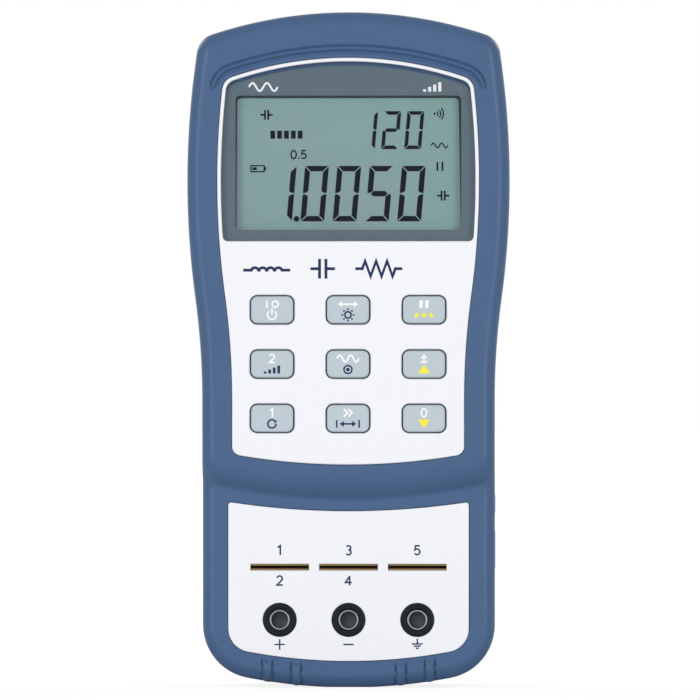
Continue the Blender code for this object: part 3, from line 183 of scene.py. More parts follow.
class MeterShape(bpy.types.PropertyGroup):
    """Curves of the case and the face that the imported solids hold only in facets."""

    bulge_radius: length("Bulge radius", "Radius of the wide part of the sides", 0.240)
    flare_radius: length("Flare radius", "Radius where the sides flare above the waist", 0.210)
    bulge_drop: length("Bulge drop", "Widest point below the top of the window", 0.033)
    top_radius: length("Top radius", "Radius of the arched top edge", 0.120)
    top_corner: length("Top corner", "Radius of the upper corners", 0.0060)
    bottom_radius: length("Bottom radius", "Radius of the bowed bottom edge", 0.150)
    bottom_corner: length("Bottom corner", "Radius of the lower corners", 0.0150)
    base_flat: length("Base flat", "Width of the flat that the meter stands on", 0.0120)
    wall: length("Wall", "Thickness of the side walls", 0.0032)
    roll_large: length("Large roll", "Radius of the outer part of the front edge", 0.0030)
    roll_small: length("Small roll", "Radius where the front edge meets the face", 0.0028)
    roll_band: length("Roll band", "Straight band between the two radii of the front edge", 0.0009)
    roll_lean: degrees("Roll lean", "Lean of the straight band of the front edge", 52)
    draft: degrees("Draft", "Taper of the sides towards the back", 1.2)
    label_height: length("Label field", "Middle of the bare sunk field on the back", 0.1480)
    rear_roll: length("Rear roll", "Radius of the rear edge", 0.0060)
    rim: length("Rim", "Width of the blue rim beside the upper plate", 0.0084)
    terminal_rim: length("Terminal rim", "Width of the blue rim beside the terminal plate", 0.0072)
    plate_proud: length("Plate proud", "Height of the white plates above the blue face", 0.00035)
    plate_round: length("Plate round", "Rounding of the edges of the white plates", 0.00042)
    plate_top_radius: length("Plate top radius", "Radius of the top edge of the upper plate", 0.100)
    plate_top_corner: length("Plate top corner", "Radius of the upper corners of the plate", 0.0042)
    plate_bottom_radius: length("Plate bottom radius", "Radius of its bottom edge", 0.180)
    plate_bottom_corner: length("Plate bottom corner", "Radius of its lower corners", 0.0026)
    terminal_top_radius: length("Terminal top radius", "Radius of the sagging top edge", 0.219)
    terminal_top_corner: length("Terminal top corner", "Radius of the upper corners", 0.0008)
    terminal_bottom_radius: length("Terminal bottom radius", "Radius of the bottom edge", 0.152)
    terminal_bottom_corner: length("Terminal bottom corner", "Radius of the lower corners", 0.0065)
    crease_gap: length("Crease gap", "Crease above the terminal plate", 0.0035)
    crease_radius: length("Crease radius", "Radius of the sagging crease", 0.174)
    slope_run: length("Slope run", "Height of the slope above the crease", 0.0094)
    slope_power: number("Slope power", "How sharply the slope bends towards the crease", 2.9)
    crease_soft: number("Crease softness", "Share of the drop that is rounded off at the crease", 0.3)
    brow_gap: length("Brow gap", "Foot of the brow rib above the upper plate", 0.0017)
    brow_width: length("Brow width", "Width of the brow rib", 0.0019)
    brow_height: length("Brow height", "Height of the brow rib", 0.00095)
    brow_trough: length("Brow trough", "Depth of the trough under the brow rib", 0.00035)
    brow_tail: length("Brow tail", "How far the ends of the brow rib run down the sides", 0.0090)
    foot_inner: length("Inner foot rib", "Inner foot ribs off the middle", 0.0145)
    foot_outer: length("Outer foot rib", "Outer foot ribs off the middle", 0.0225)
    foot_width: length("Foot rib width", "Width of the foot ribs", 0.0027)
    foot_height: length("Foot rib height", "Height of the foot ribs", 0.0010)
    rib_groove: length("Rib groove", "Depth of the fine groove along each side of a rib", 0.00028)
    window_border: length("Window border", "White border round the window", 0.00105)
    window_corner: length("Window corner", "Radius of the lower corners of the window", 0.0014)
    view_half: length("View half width", "Half width of the part of the display that shows", 0.0312)
    view_height: length("View height", "Height of the part of the display that shows", 0.0371)
    view_border: length("View border", "Grey border under the part that shows", 0.0031)
    view_corner: length("View corner", "Radius of its corners", 0.0012)
    key_width: length("Key width", "Width of a key", 0.0116)
    key_height: length("Key height", "Height of a key", 0.00745)
    key_corner: length("Key corner", "Radius of the corners of a key", 0.00175)
    key_gap: length("Key gap", "Gap round a key", 0.00035)
    key_round: length("Key round", "Rounding of the front edge of a key", 0.0006)


class MeterFinish(bpy.types.PropertyGroup):
    """Colours of the meter."""

    blue: colour("Case blue", "Satin blue of the case", (0.0605, 0.118, 0.235))
    white: colour("Plate white", "White of the face plates", (0.87, 0.88, 0.92))
    key: colour("Key grey", "Grey of the rubber keys", (0.496, 0.567, 0.621))
    mask: colour("Mask grey", "Grey printed round the display", (0.116, 0.162, 0.200))
    crystal: colour("Crystal", "Grey green ground of the display", (0.250, 0.390, 0.385))
    segment: colour("Segment", "Dark segments of the display", (0.010, 0.010, 0.024))
    navy: colour("Navy ink", "Dark printed signs", (0.026, 0.040, 0.105))
    pale: colour("White ink", "White printed signs", (0.93, 0.94, 0.96))
    yellow: colour("Yellow ink", "Yellow printed signs", (0.93, 0.83, 0.03))
    cover: colour("Cover blue", "Rubber of the port covers", (0.052, 0.098, 0.190))
    black: colour("Black", "Black plastic of the jacks", (0.0055, 0.0100, 0.0122))
    gold: colour("Gold", "Gold plate of the test contacts", (0.262, 0.184, 0.097))
    nickel: colour("Nickel", "Plate of the jack sleeves", (0.25, 0.27, 0.27))
    steel: colour("Steel", "Steel of the screws", (0.50, 0.50, 0.51))


class MeterStage(bpy.types.PropertyGroup):
    """Camera and lamps."""

    distance: length("Camera distance", "Camera in front of the face", 2.60)
    aim: length("Aim height", "Height that the camera looks at", 0.0934)
    field: length("Field", "Height of the picture at the face", 0.1934)
    turn: degrees("Camera turn", "Camera off the middle, towards the right side", 1.6)
    sky: number("Sky light", "Even light from all round", 0.30)
    front_lamp: watts("Front lamp", "Soft lamp above the camera, which no gloss shows", 18.0)
    side_lamps: watts("Side lamps", "Each of two soft lamps beside the camera", 29.8)
    rear_lamps: watts("Rear lamps", "Each of two soft lamps behind the meter", 30.0)


def middle(node):
    """Middle of the box of a node."""
    low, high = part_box(node)
    return (low + high) / 2


def front_of(node):
    """Depth of the front of a node."""
    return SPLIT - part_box(node)[0].y


def back_of(node):
    """Depth of the back of a node."""
    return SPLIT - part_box(node)[1].y


def face_box(low, high, grow=0.0):
    """Middle x, middle z, width and height of a box seen from the front."""
    return ((low.x + high.x) / 2, (low.z + high.z) / 2, high.x - low.x + 2 * grow, high.z - low.z + 2 * grow)


def spread(start, end, count):
    """Values spaced evenly between two ends, both left out."""
    return [start + (end - start) * (i + 1) / (count + 1) for i in range(count)]


def steps_between(start, end, count):
    """Values that go from one end to the other in even steps, with both ends."""
    return [start + (end - start) * i / count for i in range(count + 1)]


def on_arc(x, z, radius, angles):
    """Points of an arc at the given angles."""
    return [(x + radius * math.cos(a), z + radius * math.sin(a)) for a in angles]


def smooth(value):
    """Soft ramp from 0 to 1."""
    value = min(max(value, 0.0), 1.0)
    return value * value * (3 - 2 * value)


def mirrored(right):
    """Closed outline from its right half, which runs upward."""
    return right + [(-x, z) for x, z in reversed(right)]


def arched_top(top, radius):
    """Height of a top edge that arches upward."""
    return lambda x, inset: top - radius + math.sqrt((radius - inset) ** 2 - x * x)


def sagging_top(top, radius):
    """Height of a top edge that sags in the middle."""
    return lambda x, inset: top + radius - math.sqrt((radius + inset) ** 2 - x * x)


def arched_bottom(bottom, radius):
    """Height of a bottom edge that bows downward."""
    return lambda x, inset: bottom + radius - math.sqrt((radius - inset) ** 2 - x * x)


def corner_arc(side, edge, inset, radius, upper):
    """Fillet between the side and an end edge, in the order of an outline that runs upward.

    The middle of the fillet is where the two curves meet when both are drawn in by its radius.
    """
    radius = max(radius - inset, FINE_ROUND)
    reach = inset + radius
    z = edge(0.0, reach)
    for _ in range(SETTLE_ROUNDS):
        x = side(z, reach)
        z = edge(x, reach)
    near = 1e-5
    lean = (side(z + near, reach) - side(z - near, reach)) / (2 * near)
    rise = (edge(x + near, reach) - edge(x - near, reach)) / (2 * near)
    on_side = math.atan2(-lean, 1.0)
    on_edge = math.atan2(1.0, -rise) if upper else math.atan2(-1.0, rise)
    start, end = (on_side, on_edge) if upper else (on_edge, on_side)
    return on_arc(x, z, radius, steps_between(start, end, CORNER_STEPS))


def outline(side, bottom, top, corners, inset=0.0, counts=(24, 60)):
    """Closed outline with a side curve, two end edges and rounded corners."""
    low = corner_arc(side, bottom, inset, corners[0], False)
    high = corner_arc(side, top, inset, corners[1], True)
    ends, sides = counts
    half_step = low[0][0] / (2 * ends + 1)
    low_edge = [half_step] + spread(half_step, low[0][0], ends)
    high_edge = spread(high[-1][0], half_step, ends) + [half_step]
    right = [(x, bottom(x, inset)) for x in low_edge] + low
    right += [(side(z, inset), z) for z in spread(low[-1][1], high[0][1], sides)] + high
    right += [(x, top(x, inset)) for x in high_edge]
    return mirrored(right)


def rounded_rectangle(x, z, width, height, radius):
    """Closed outline of a rectangle with round corners about a middle point."""
    points = []
    for quarter, (sx, sz) in enumerate(((1, -1), (1, 1), (-1, 1), (-1, -1))):
        angles = [math.pi / 2 * (quarter - 1 + step / CORNER_STEPS) for step in range(CORNER_STEPS + 1)]
        points += on_arc(x + sx * (width / 2 - radius), z + sz * (height / 2 - radius), radius, angles)
    return points


def circle(x, z, radius, sides=ROUND_SIDES):
    """Closed outline of a circle."""
    return on_arc(x, z, radius, [2 * math.pi * i / sides for i in range(sides)])


class CaseForm:
    """Curves of the case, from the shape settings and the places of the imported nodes."""

    def __init__(self, shape):
        self.shape = shape
        self.half = CAD_BOX[1].x
        self.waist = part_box("data_port_cover")[1].x
        self.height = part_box("front_case")[1].z
        self.plate_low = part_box("upper_face_plate")[0].z
        self.plate_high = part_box("upper_face_plate")[1].z
        self.window_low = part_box("display_window")[0].z - GAP
        self.window_high = self.plate_high - shape.window_border
        self.terminal_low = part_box("terminal_face_plate")[0].z
        self.crease = self.plate_low - shape.slope_run
        self.terminal_high = self.crease - shape.crease_gap
        self.plate_front = front_of("upper_face_plate")
        self.drop = self.plate_front - front_of("terminal_face_plate")
        self.face = self.plate_front - shape.plate_proud
        self.bulge = self.window_high - shape.bulge_drop
        self.curve = shape.bulge_radius + shape.flare_radius
        across = self.curve - self.half + self.waist
        self.flare = self.bulge - math.sqrt(self.curve ** 2 - across ** 2)
        self.keys = {name: middle(name) for name in KEY_NODES}

    def half_width(self, z, inset):
        """Half width of the case at a height, drawn in by an inset square to its side."""
        shape = self.shape
        if z <= self.flare:
            return self.waist - inset
        meeting = self.bulge - (self.bulge - self.flare) * (shape.bulge_radius - inset) / self.curve
        if z <= meeting:
            radius = shape.flare_radius
            return self.waist + radius - math.sqrt((radius + inset) ** 2 - (z - self.flare) ** 2)
        radius = shape.bulge_radius
        return self.half - radius + math.sqrt((radius - inset) ** 2 - (z - self.bulge) ** 2)

    def taper_at(self, u):
        """How far the sides are drawn in at a depth behind the rolled front edge."""
        widest = self.face - self.drop - self.shape.roll_large
        return max(widest - u, 0.0) * math.tan(self.shape.draft)

    def crease_at(self, x):
        """Height of the crease at a distance from the middle."""
        radius = self.shape.crease_radius
        return self.crease + radius - math.sqrt(radius ** 2 - x * x)

    def level(self, x, z):
        """Depth of the blue face: the display half, the slope or the terminal half."""
        share = max(1 - (z - self.crease_at(x)) / self.shape.slope_run, 0.0)
        fall = share ** self.shape.slope_power
        soft = self.shape.crease_soft
        blend = max(soft - abs(fall - 1), 0.0) / soft
        return self.face - self.drop * (min(fall, 1.0) - blend * blend * soft / 4)

    def on_face(self, points, drop=0.0):
        """Outline points placed on the blue face, or below it by a drop."""
        return [Vector((x, SPLIT - self.level(x, z) + drop, z)) for x, z in points]

    def case_outline(self, inset, counts=(END_STEPS, SIDE_STEPS)):
        """Outline of the case seen from the front, with a flat to stand on."""
        shape = self.shape
        radius = shape.bottom_radius
        lift = radius - math.sqrt(radius ** 2 - (shape.base_flat / 2) ** 2)
        bowed = arched_bottom(-lift, radius)
        return outline(self.half_width, lambda x, inward: max(bowed(x, inward), inward),
                       arched_top(self.height, shape.top_radius),
                       (shape.bottom_corner, shape.top_corner), inset, counts)

    def upper_outline(self, inset, counts=(30, 90)):
        """Outline of the upper face plate."""
        shape = self.shape
        return outline(lambda z, inward: self.half_width(z, shape.rim + inward),
                       arched_bottom(self.plate_low, shape.plate_bottom_radius),
                       arched_top(self.plate_high, shape.plate_top_radius),
                       (shape.plate_bottom_corner, shape.plate_top_corner), inset, counts)

    def window_outline(self, inset):
        """Outline of the display window, which follows the top and sides of the plate."""
        shape = self.shape
        border = shape.window_border
        return outline(lambda z, inward: self.half_width(z, shape.rim + border + inward),
                       lambda x, inward: self.window_low + inward,
                       arched_top(self.window_high, shape.plate_top_radius - border),
                       (shape.window_corner, shape.plate_top_corner - border), inset)

    def terminal_outline(self, inset):
        """Outline of the terminal face plate."""
        shape = self.shape
        return outline(lambda z, inward: self.waist - shape.terminal_rim - inward,
                       arched_bottom(self.terminal_low, shape.terminal_bottom_radius),
                       sagging_top(self.terminal_high, shape.terminal_top_radius),
                       (shape.terminal_bottom_corner, shape.terminal_top_corner), inset, (30, 20))

    def view_outline(self, grow):
        """Outline of the part of the display that shows."""
        shape = self.shape
        centre = self.window_low + shape.view_border + shape.view_height / 2
        size = (2 * (shape.view_half + grow), shape.view_height + 2 * grow)
        return rounded_rectangle(0.0, centre, *size, shape.view_corner + max(grow, 0.0))

    def key_outline(self, name, grow):
        """Outline of a key."""
        shape = self.shape
        place = self.keys[name]
        size = (shape.key_width + 2 * grow, shape.key_height + 2 * grow)
        return rounded_rectangle(place.x, place.z, *size, shape.key_corner + grow)

    def rib_lift(self, share, height):
        """Height of a rounded rib and of the fine groove beside it, at a share of its half width."""
        beside = (abs(share) - RIB_GROOVE_AT) / RIB_GROOVE_SPREAD
        groove = self.shape.rib_groove * math.exp(-beside ** 2)
        return height * math.sqrt(max(1 - share * share, 0.0)) - groove

    def brow_section(self):
        """Distance from the upper plate and lift of each point across the brow rib, from below."""
        shape = self.shape
        height, trough = shape.brow_height, shape.brow_trough
        lifts = ((-0.52, 0.0), (-0.04, -trough), (0.40, 0.86 * height), (0.55, height), (0.66, 0.90 * height),
                 (0.93, -0.7 * trough), (1.14, 0.0))
        knots = [(shape.brow_gap + share * shape.brow_width, lift) for share, lift in lifts]
        section = []
        for (near, low), (far, high) in zip(knots, knots[1:]):
            for share in steps_between(0.0, 1.0, EDGE_STEPS)[:-1]:
                section.append((near + (far - near) * share, low + (high - low) * smooth(share)))
        return section + [knots[-1]]

    def foot_lift(self, x, z, tilt):
        """Height of the foot ribs on the face and round its bottom edge."""
        shape = self.shape
        half = shape.foot_width / 2
        radius = shape.terminal_bottom_radius
        start = self.terminal_low + radius - math.sqrt(radius ** 2 - x * x) - half / 3
        fade_from, fade_over, nose_share = math.radians(5), math.radians(45), 0.6
        for rib in (shape.foot_inner, shape.foot_outer):
            share = (abs(x) - rib) / half
            if abs(share) < RIB_REACH:
                nose = nose_share * half * (1 - min(abs(share), 1.0))
                opening = smooth((start - z - nose) / half)
                fading = smooth((tilt - fade_from) / fade_over)
                return self.rib_lift(share, shape.foot_height) * opening * fading
        return 0.0


def at_depth(points, u):
    """Outline points placed at a depth."""
    return [Vector((x, SPLIT - u, z)) for x, z in points]


def loft(bm, rings):
    """Bands of faces through rings of points; the first and last rings of vertices come back."""
    loops = [[bm.verts.new(point) for point in ring] for ring in rings]
    for low, high in zip(loops, loops[1:]):
        for i in range(len(low)):
            j = (i + 1) % len(low)
            bm.faces.new((low[i], low[j], high[j], high[i]))
    return loops[0], loops[-1]


def capped(bm, rings):
    """Closed form through rings of points, with a face over each end."""
    for end in loft(bm, rings):
        bm.faces.new(end)
    return bm


def crossings(centres, loop):
    """How many edges of a closed loop lie to the right of each centre."""
    count = np.zeros(len(centres), int)
    x, z = centres.T
    for (ax, az), (bx, bz) in zip(loop, loop[1:] + loop[:1]):
        if az != bz:
            count += ((az > z) != (bz > z)) & (ax + (z - az) * (bx - ax) / (bz - az) > x)
    return count


def triangulated(flat, loops):
    """Triangles through flat points that keep the edges of the loops, with their middles."""
    edges = []
    for loop in loops:
        first = len(edges)
        edges += [(first + i, first + (i + 1) % len(loop)) for i in range(len(loop))]
    flat, _, triangles, origin, _, _ = delaunay_2d_cdt(flat, edges, [], 0, NEARNESS)
    centres = np.array([[sum(flat[i][axis] for i in t) / 3 for axis in (0, 1)] for t in triangles])
    return flat, triangles, origin, centres


def fill(bm, loops, points=()):
    """Triangles between an outer loop of vertices, the loops inside it and loose points."""
    known = dict(enumerate(vert for loop in loops for vert in loop))
    places = [vert.co.copy() for vert in known.values()] + list(points)
    flat = [Vector((place.x, place.z)) for place in places]
    _, triangles, origin, centres = triangulated(flat, loops)
    count = sum(crossings(centres, [(vert.co.x, vert.co.z) for vert in loop]) for loop in loops)
    for triangle, crossed in zip(triangles, count):
        if crossed % 2 == 0:
            continue
        corners = []
        for i in triangle:
            source = min(origin[i])
            if source not in known:
                known[source] = bm.verts.new(places[source])
            corners.append(known[source])
        bm.faces.new(corners)


def mesh_of(name, bm):
    """Mesh of a closed form, with all of its faces turned outward."""
    bmesh.ops.recalc_face_normals(bm, faces=bm.faces)
    mesh = bpy.data.meshes.new(name)
    bm.to_mesh(mesh)
    bm.free()
    return mesh


def linked(name, data):
    """New object in the scene."""
    thing = bpy.data.objects.new(name, data)
    bpy.context.scene.collection.objects.link(thing)
    return thing


def evaluated(thing):
    """Plain mesh of an object as its modifiers leave it."""
    bpy.context.view_layer.update()
    return bpy.data.meshes.new_from_object(thing.evaluated_get(bpy.context.evaluated_depsgraph_get()))


def add_piece(name, bm, body, slot, *nodes, look=None):
    """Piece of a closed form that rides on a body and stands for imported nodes."""
    finish_piece(name, mesh_of(name, bm), body, slot, *nodes, look=look)


def finish_piece(name, mesh, body, slot, *nodes, look=None):
    """Piece of a finished mesh, shaded smooth between its sharp edges.

    Its finish has the name of its slot, unless another look is named.
    """
    mesh.shade_smooth()
    mesh.set_sharp_from_angle(angle=SMOOTH_ANGLE)
    mesh.materials.clear()
    mesh.materials.append(finishes()[look or slot])
    piece = linked(name, mesh)
    even = piece.modifiers.new("even shading", "WEIGHTED_NORMAL")
    even.keep_sharp = True
    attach(piece, body)
    if nodes:
        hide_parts(*nodes)


def shaped(name, bm, cutters, bevel=0.0):
    """Mesh of a closed form after cutters are taken from it and its sharp edges are eased."""
    blank = linked(name + "_blank", mesh_of(name, bm))
    tools = [linked(name + "_tool", mesh_of(name + "_tool", cutter)) for cutter in cutters]
    for tool in tools:
        cut = blank.modifiers.new("cut", "BOOLEAN")
        cut.operation = "DIFFERENCE"
        cut.object = tool
    if bevel:
        ease = blank.modifiers.new("ease", "BEVEL")
        ease.width = bevel
        ease.segments = 3
        ease.limit_method = "ANGLE"
        ease.angle_limit = EASED_ANGLE
    mesh = evaluated(blank)
    for thing in [blank] + tools:
        bpy.data.objects.remove(thing, do_unlink=True)
    return mesh


def block(low, high):
    """Closed box between two corners."""
    bm = bmesh.new()
    bmesh.ops.create_cube(bm, size=1.0)
    for vert in bm.verts:
        vert.co = [low[i] + (vert.co[i] + 0.5) * (high[i] - low[i]) for i in range(3)]
    return bm


def prism(points, front, back):
    """Closed solid of an outline between two depths."""
    return capped(bmesh.new(), [at_depth(points, back), at_depth(points, front)])


def rod(bm, hinge, ends, radius):
    """Closed round bar along the hinge line of the stand, between two ends."""
    loop = circle(hinge.y, hinge.z, radius, ROD_SIDES)
    return capped(bm, [[Vector((x, y, z)) for y, z in loop] for x in ends])


def round_over(radius, steps=EDGE_STEPS):
    """Inset and drop of each station of a quarter round, from the side to the face."""
    angles = steps_between(0.0, math.pi / 2, steps)
    return [(radius * (1 - math.cos(a)), radius * (1 - math.sin(a))) for a in angles]


def punched_plate(outer, holes, front, back, radius):
    """Closed plate with holes, whose front edges are rounded."""
    bm = bmesh.new()
    fronts, backs = [], []
    for curve in [outer] + holes:
        rings = [at_depth(curve(0.0), back)]
        rings += [at_depth(curve(inset), front - drop) for inset, drop in round_over(radius)]
        rings.append(at_depth(curve(radius + SEAM), front))
        low, high = loft(bm, rings)
        backs.append(low)
        fronts.append(high)
    fill(bm, fronts)
    fill(bm, backs)
    return bm


# Finishes, and the shader groups that they share

def feed(tree, target, inputs):
    """Give each named input of a node its value, or link it to the socket that feeds it."""
    for label, value in inputs.items():
        if isinstance(value, bpy.types.NodeSocket):
            tree.links.new(value, target.inputs[label])
        else:
            target.inputs[label].default_value = value


def add_node(tree, kind, inputs=None, **settings):
    """New node with its settings, values and links."""
    made = tree.nodes.new(kind)
    for name, value in settings.items():
        setattr(made, name, value)
    feed(tree, made, inputs or {})
    return made


def math_node(tree, operation, first, second=0.0):
    """Arithmetic on two sockets or numbers."""
    return add_node(tree, "ShaderNodeMath", {0: first, 1: second}, operation=operation).outputs[0]


def noise_node(tree, vector, scale, detail):
    """Noise on a vector at a scale."""
    inputs = {"Vector": vector, "Scale": scale, "Detail": detail}
    return add_node(tree, "ShaderNodeTexNoise", inputs).outputs["Fac"]


def swing(tree, noise, amount):
    """Noise turned about zero, times an amount."""
    return math_node(tree, "MULTIPLY", math_node(tree, "SUBTRACT", noise, 0.5), amount)


def tinted(tree, base, factor):
    """Colour made darker or lighter by a factor round one."""
    return add_node(tree, "ShaderNodeVectorMath", {0: base, "Scale": factor}, operation="SCALE").outputs[0]


def surface_group(name, settings):
    """Shader group that takes a place, a colour and settings, with the sockets of its inputs.

    It puts out a colour, a roughness and a height.
    """
    tree = bpy.data.node_groups.new(name, "ShaderNodeTree")
    add = tree.interface.new_socket
    add("Vector", in_out="INPUT", socket_type="NodeSocketVector")
    add("Colour", in_out="INPUT", socket_type="NodeSocketColor")
    for label, default in settings.items():
        add(label, in_out="INPUT", socket_type="NodeSocketFloat").default_value = default
    for label, kind in (("Colour", "Color"), ("Roughness", "Float"), ("Height", "Float")):
        add(label, in_out="OUTPUT", socket_type="NodeSocket" + kind)
    return tree, tree.nodes.new("NodeGroupInput").outputs


def moulded_grain():
    """Fine spark-eroded grain of moulded plastic and rubber, with faint clouding of its colour."""
    settings = {"Grain": 2600.0, "Clouding": 0.05, "Roughness": 0.5, "Spread": 0.1}
    tree, given = surface_group("moulded_grain", settings)
    cloud_scale, fleck_scale = 45.0, 900.0
    fine = noise_node(tree, given["Vector"], given["Grain"], 2.0)
    cloud = noise_node(tree, given["Vector"], cloud_scale, 4.0)
    fleck = noise_node(tree, given["Vector"], fleck_scale, 2.0)
    clouding, shift = given["Clouding"], swing(tree, cloud, given["Spread"])
    change = math_node(tree, "ADD", swing(tree, cloud, clouding), swing(tree, fleck, clouding))
    add_node(tree, "NodeGroupOutput",
             {"Colour": tinted(tree, given["Colour"], math_node(tree, "ADD", change, 1.0)),
              "Roughness": math_node(tree, "ADD", given["Roughness"], shift), "Height": fine})
    return tree


def brushed_lines():
    """Fine lines drawn along one direction of bare metal, with patches of duller plate."""
    settings = {"Lines": LINE_SCALE, "Roughness": 0.3, "Spread": LINE_SPREAD}
    tree, given = surface_group("brushed_lines", settings)
    draw, patch_scale, patch_spread, darkest = (0.2, 6.0, 6.0), 300.0, 0.24, 0.88
    drawn = add_node(tree, "ShaderNodeVectorMath", {0: given["Vector"], 1: draw}, operation="MULTIPLY")
    lines = noise_node(tree, drawn.outputs[0], given["Lines"], 2.0)
    patches = noise_node(tree, given["Vector"], patch_scale, 3.0)
    factor = math_node(tree, "ADD", math_node(tree, "MULTIPLY", patches, patch_spread), darkest)
    shift = swing(tree, lines, given["Spread"])
    add_node(tree, "NodeGroupOutput",
             {"Colour": tinted(tree, given["Colour"], factor),
              "Roughness": math_node(tree, "ADD", given["Roughness"], shift), "Height": lines})
    return tree


def shared_group(make):
    """Node group, built the first time that it is asked for and named like its function."""
    return bpy.data.node_groups.get(make.__name__) or make()


def grained(name, base, make, values, bump, constants):
    """Material whose colour, roughness and bump come from a shared group."""
    material = bpy.data.materials.new(name + "_finish")
    material.use_nodes = True
    tree = material.node_tree
    place = tree.nodes.new("ShaderNodeTexCoord").outputs["Object"]
    group = add_node(tree, "ShaderNodeGroup", {}, node_tree=shared_group(make))
    feed(tree, group, {"Vector": place, "Colour": (*base, 1.0), **values})
    strength, distance = bump
    relief = add_node(tree, "ShaderNodeBump", {"Strength": strength, "Distance": distance,
                                               "Height": group.outputs["Height"]})
    feed(tree, tree.nodes["Principled BSDF"],
         {"Base Color": group.outputs["Colour"], "Roughness": group.outputs["Roughness"],
          "Normal": relief.outputs["Normal"], **constants})
    return material


def plastic(name, base, roughness, grain=2600.0, clouding=0.05, bump=0.25, specular=0.5):
    """Moulded plastic or rubber, or print."""
    values = {"Grain": grain, "Clouding": clouding, "Roughness": roughness, "Spread": GRAIN_SPREAD}
    constants = {"Specular IOR Level": specular}
    return grained(name, base, moulded_grain, values, (bump, GRAIN_RELIEF), constants)


def metal(name, base, roughness):
    """Bare or plated metal."""
    values = {"Lines": LINE_SCALE, "Roughness": roughness, "Spread": LINE_SPREAD}
    return grained(name, base, brushed_lines, values, (LINE_BUMP, LINE_RELIEF), {"Metallic": 1.0})


@functools.cache
def finishes():
    """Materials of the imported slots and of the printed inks, by name."""
    tint = bpy.context.scene.meter_finish
    dull, faint = 0.25, 0.06
    # Colour, roughness, fineness of the grain, clouding, bump and specular level
    plastics = {
        "blue_plastic": (tint.blue, 0.40, 2400.0, 0.10, 0.35, dull),
        "white_plastic": (tint.white, 0.38, 3200.0, 0.02, 0.08),
        "key_rubber": (tint.key, 0.62, 2800.0, 0.05, 0.25),
        "mask_print": (tint.mask, 0.42, 3000.0, 0.08, 0.10, dull),
        "light_guide": ((0.80, 0.85, 0.82), 0.35, 1500.0, 0.03, 0.05),
        "holder_plastic": ((0.60, 0.60, 0.58), 0.5),
        "soft_rubber": ((0.035, 0.040, 0.046), 0.75, 2000.0, 0.12, 0.40),
        "cover_rubber": (tint.cover, 0.62, 2200.0, 0.08, 0.40),
        "board_laminate": ((0.015, 0.13, 0.055), 0.35, 700.0, 0.25, 0.15),
        "black_plastic": (tint.black, 0.42, 2600.0, 0.10, 0.20, 0.14),
        "battery_can": ((0.06, 0.065, 0.075), 0.35, 1800.0, 0.10, 0.10),
        # Dark grey of the strip of painted shadow round the display opening
        "painted_shadow_strip": ((0.045, 0.062, 0.072), 0.6, 2600.0, 0.05, 0.25, dull),
        "jack_floor": ((0.22, 0.265, 0.27), 0.6, 2600.0, 0.05, 0.25, dull),
        "white_ink": (tint.pale, 0.45, 3600.0, 0.03, 0.10),
        "navy_ink": (tint.navy, 0.45, 3600.0, 0.10, 0.10, faint),
        "yellow_ink": (tint.yellow, 0.45, 3600.0, 0.04, 0.10),
        "segment_ink": (tint.segment, 0.50, 3600.0, 0.10, 0.05, faint),
    }
    metals = {"gold_contact": (tint.gold, 0.45), "plated_metal": (tint.nickel, 0.40),
              "screw_steel": (tint.steel, 0.34)}
    made = {name: plastic(name, *values) for name, values in plastics.items()}
    made.update({name: metal(name, *values) for name, values in metals.items()})
    made["display_glass"] = crystal_ground(tint.crystal)
    made["clear_plastic"] = clear_window()
    return made


def crystal_ground(base):
    """Liquid crystal ground: soft drift of its grey green and a faint grain."""
    material = plastic("crystal_ground", base, 0.38, 4200.0, 0.04, 0.04, 0.2)
    tree = material.node_tree
    drift_scale = 26.0
    drift = noise_node(tree, tree.nodes["Texture Coordinate"].outputs["Object"], drift_scale, 1.0)
    ramp = add_node(tree, "ShaderNodeValToRGB", {"Fac": drift})
    stops = ((0.35, (0.97, 1.03, 1.00, 1.0)), (0.65, (1.06, 0.98, 1.03, 1.0)))
    for stop, (position, shade) in zip(ramp.color_ramp.elements, stops):
        stop.position = position
        stop.color = shade
    blend = add_node(tree, "ShaderNodeMix", {}, data_type="RGBA", blend_type="MULTIPLY")
    feed(tree, blend, {"Factor": 1.0, "A": tree.nodes["Group"].outputs["Colour"], "B": ramp.outputs["Color"]})
    feed(tree, tree.nodes["Principled BSDF"], {"Base Color": blend.outputs["Result"]})
    return material


def clear_window():
    """Clear moulded window: almost see-through, with faint smears on its gloss."""
    material = plastic("clear_plastic", (0.02, 0.02, 0.02), 0.12, 900.0, 0.02, 0.02)
    tree = material.node_tree
    smear_scale, smear_alpha, clear_alpha = 120.0, 0.03, 0.03
    smears = noise_node(tree, tree.nodes["Texture Coordinate"].outputs["Object"], smear_scale, 3.0)
    cover = math_node(tree, "ADD", math_node(tree, "MULTIPLY", smears, smear_alpha), clear_alpha)
    feed(tree, tree.nodes["Principled BSDF"], {"Alpha": cover})
    return material


# Geometry node trees for what repeats

def geometry_tree(name, labels):
    """Geometry tree with points, named sizes and a material, with the sockets of its inputs."""
    tree = bpy.data.node_groups.new(name, "GeometryNodeTree")
    sockets = [("Geometry", "Geometry")] + [(label, "Float") for label in labels] + [("Material", "Material")]
    for label, kind in sockets:
        tree.interface.new_socket(label, in_out="INPUT", socket_type="NodeSocket" + kind)
    tree.interface.new_socket("Geometry", in_out="OUTPUT", socket_type="NodeSocketGeometry")
    return tree, tree.nodes.new("NodeGroupInput").outputs


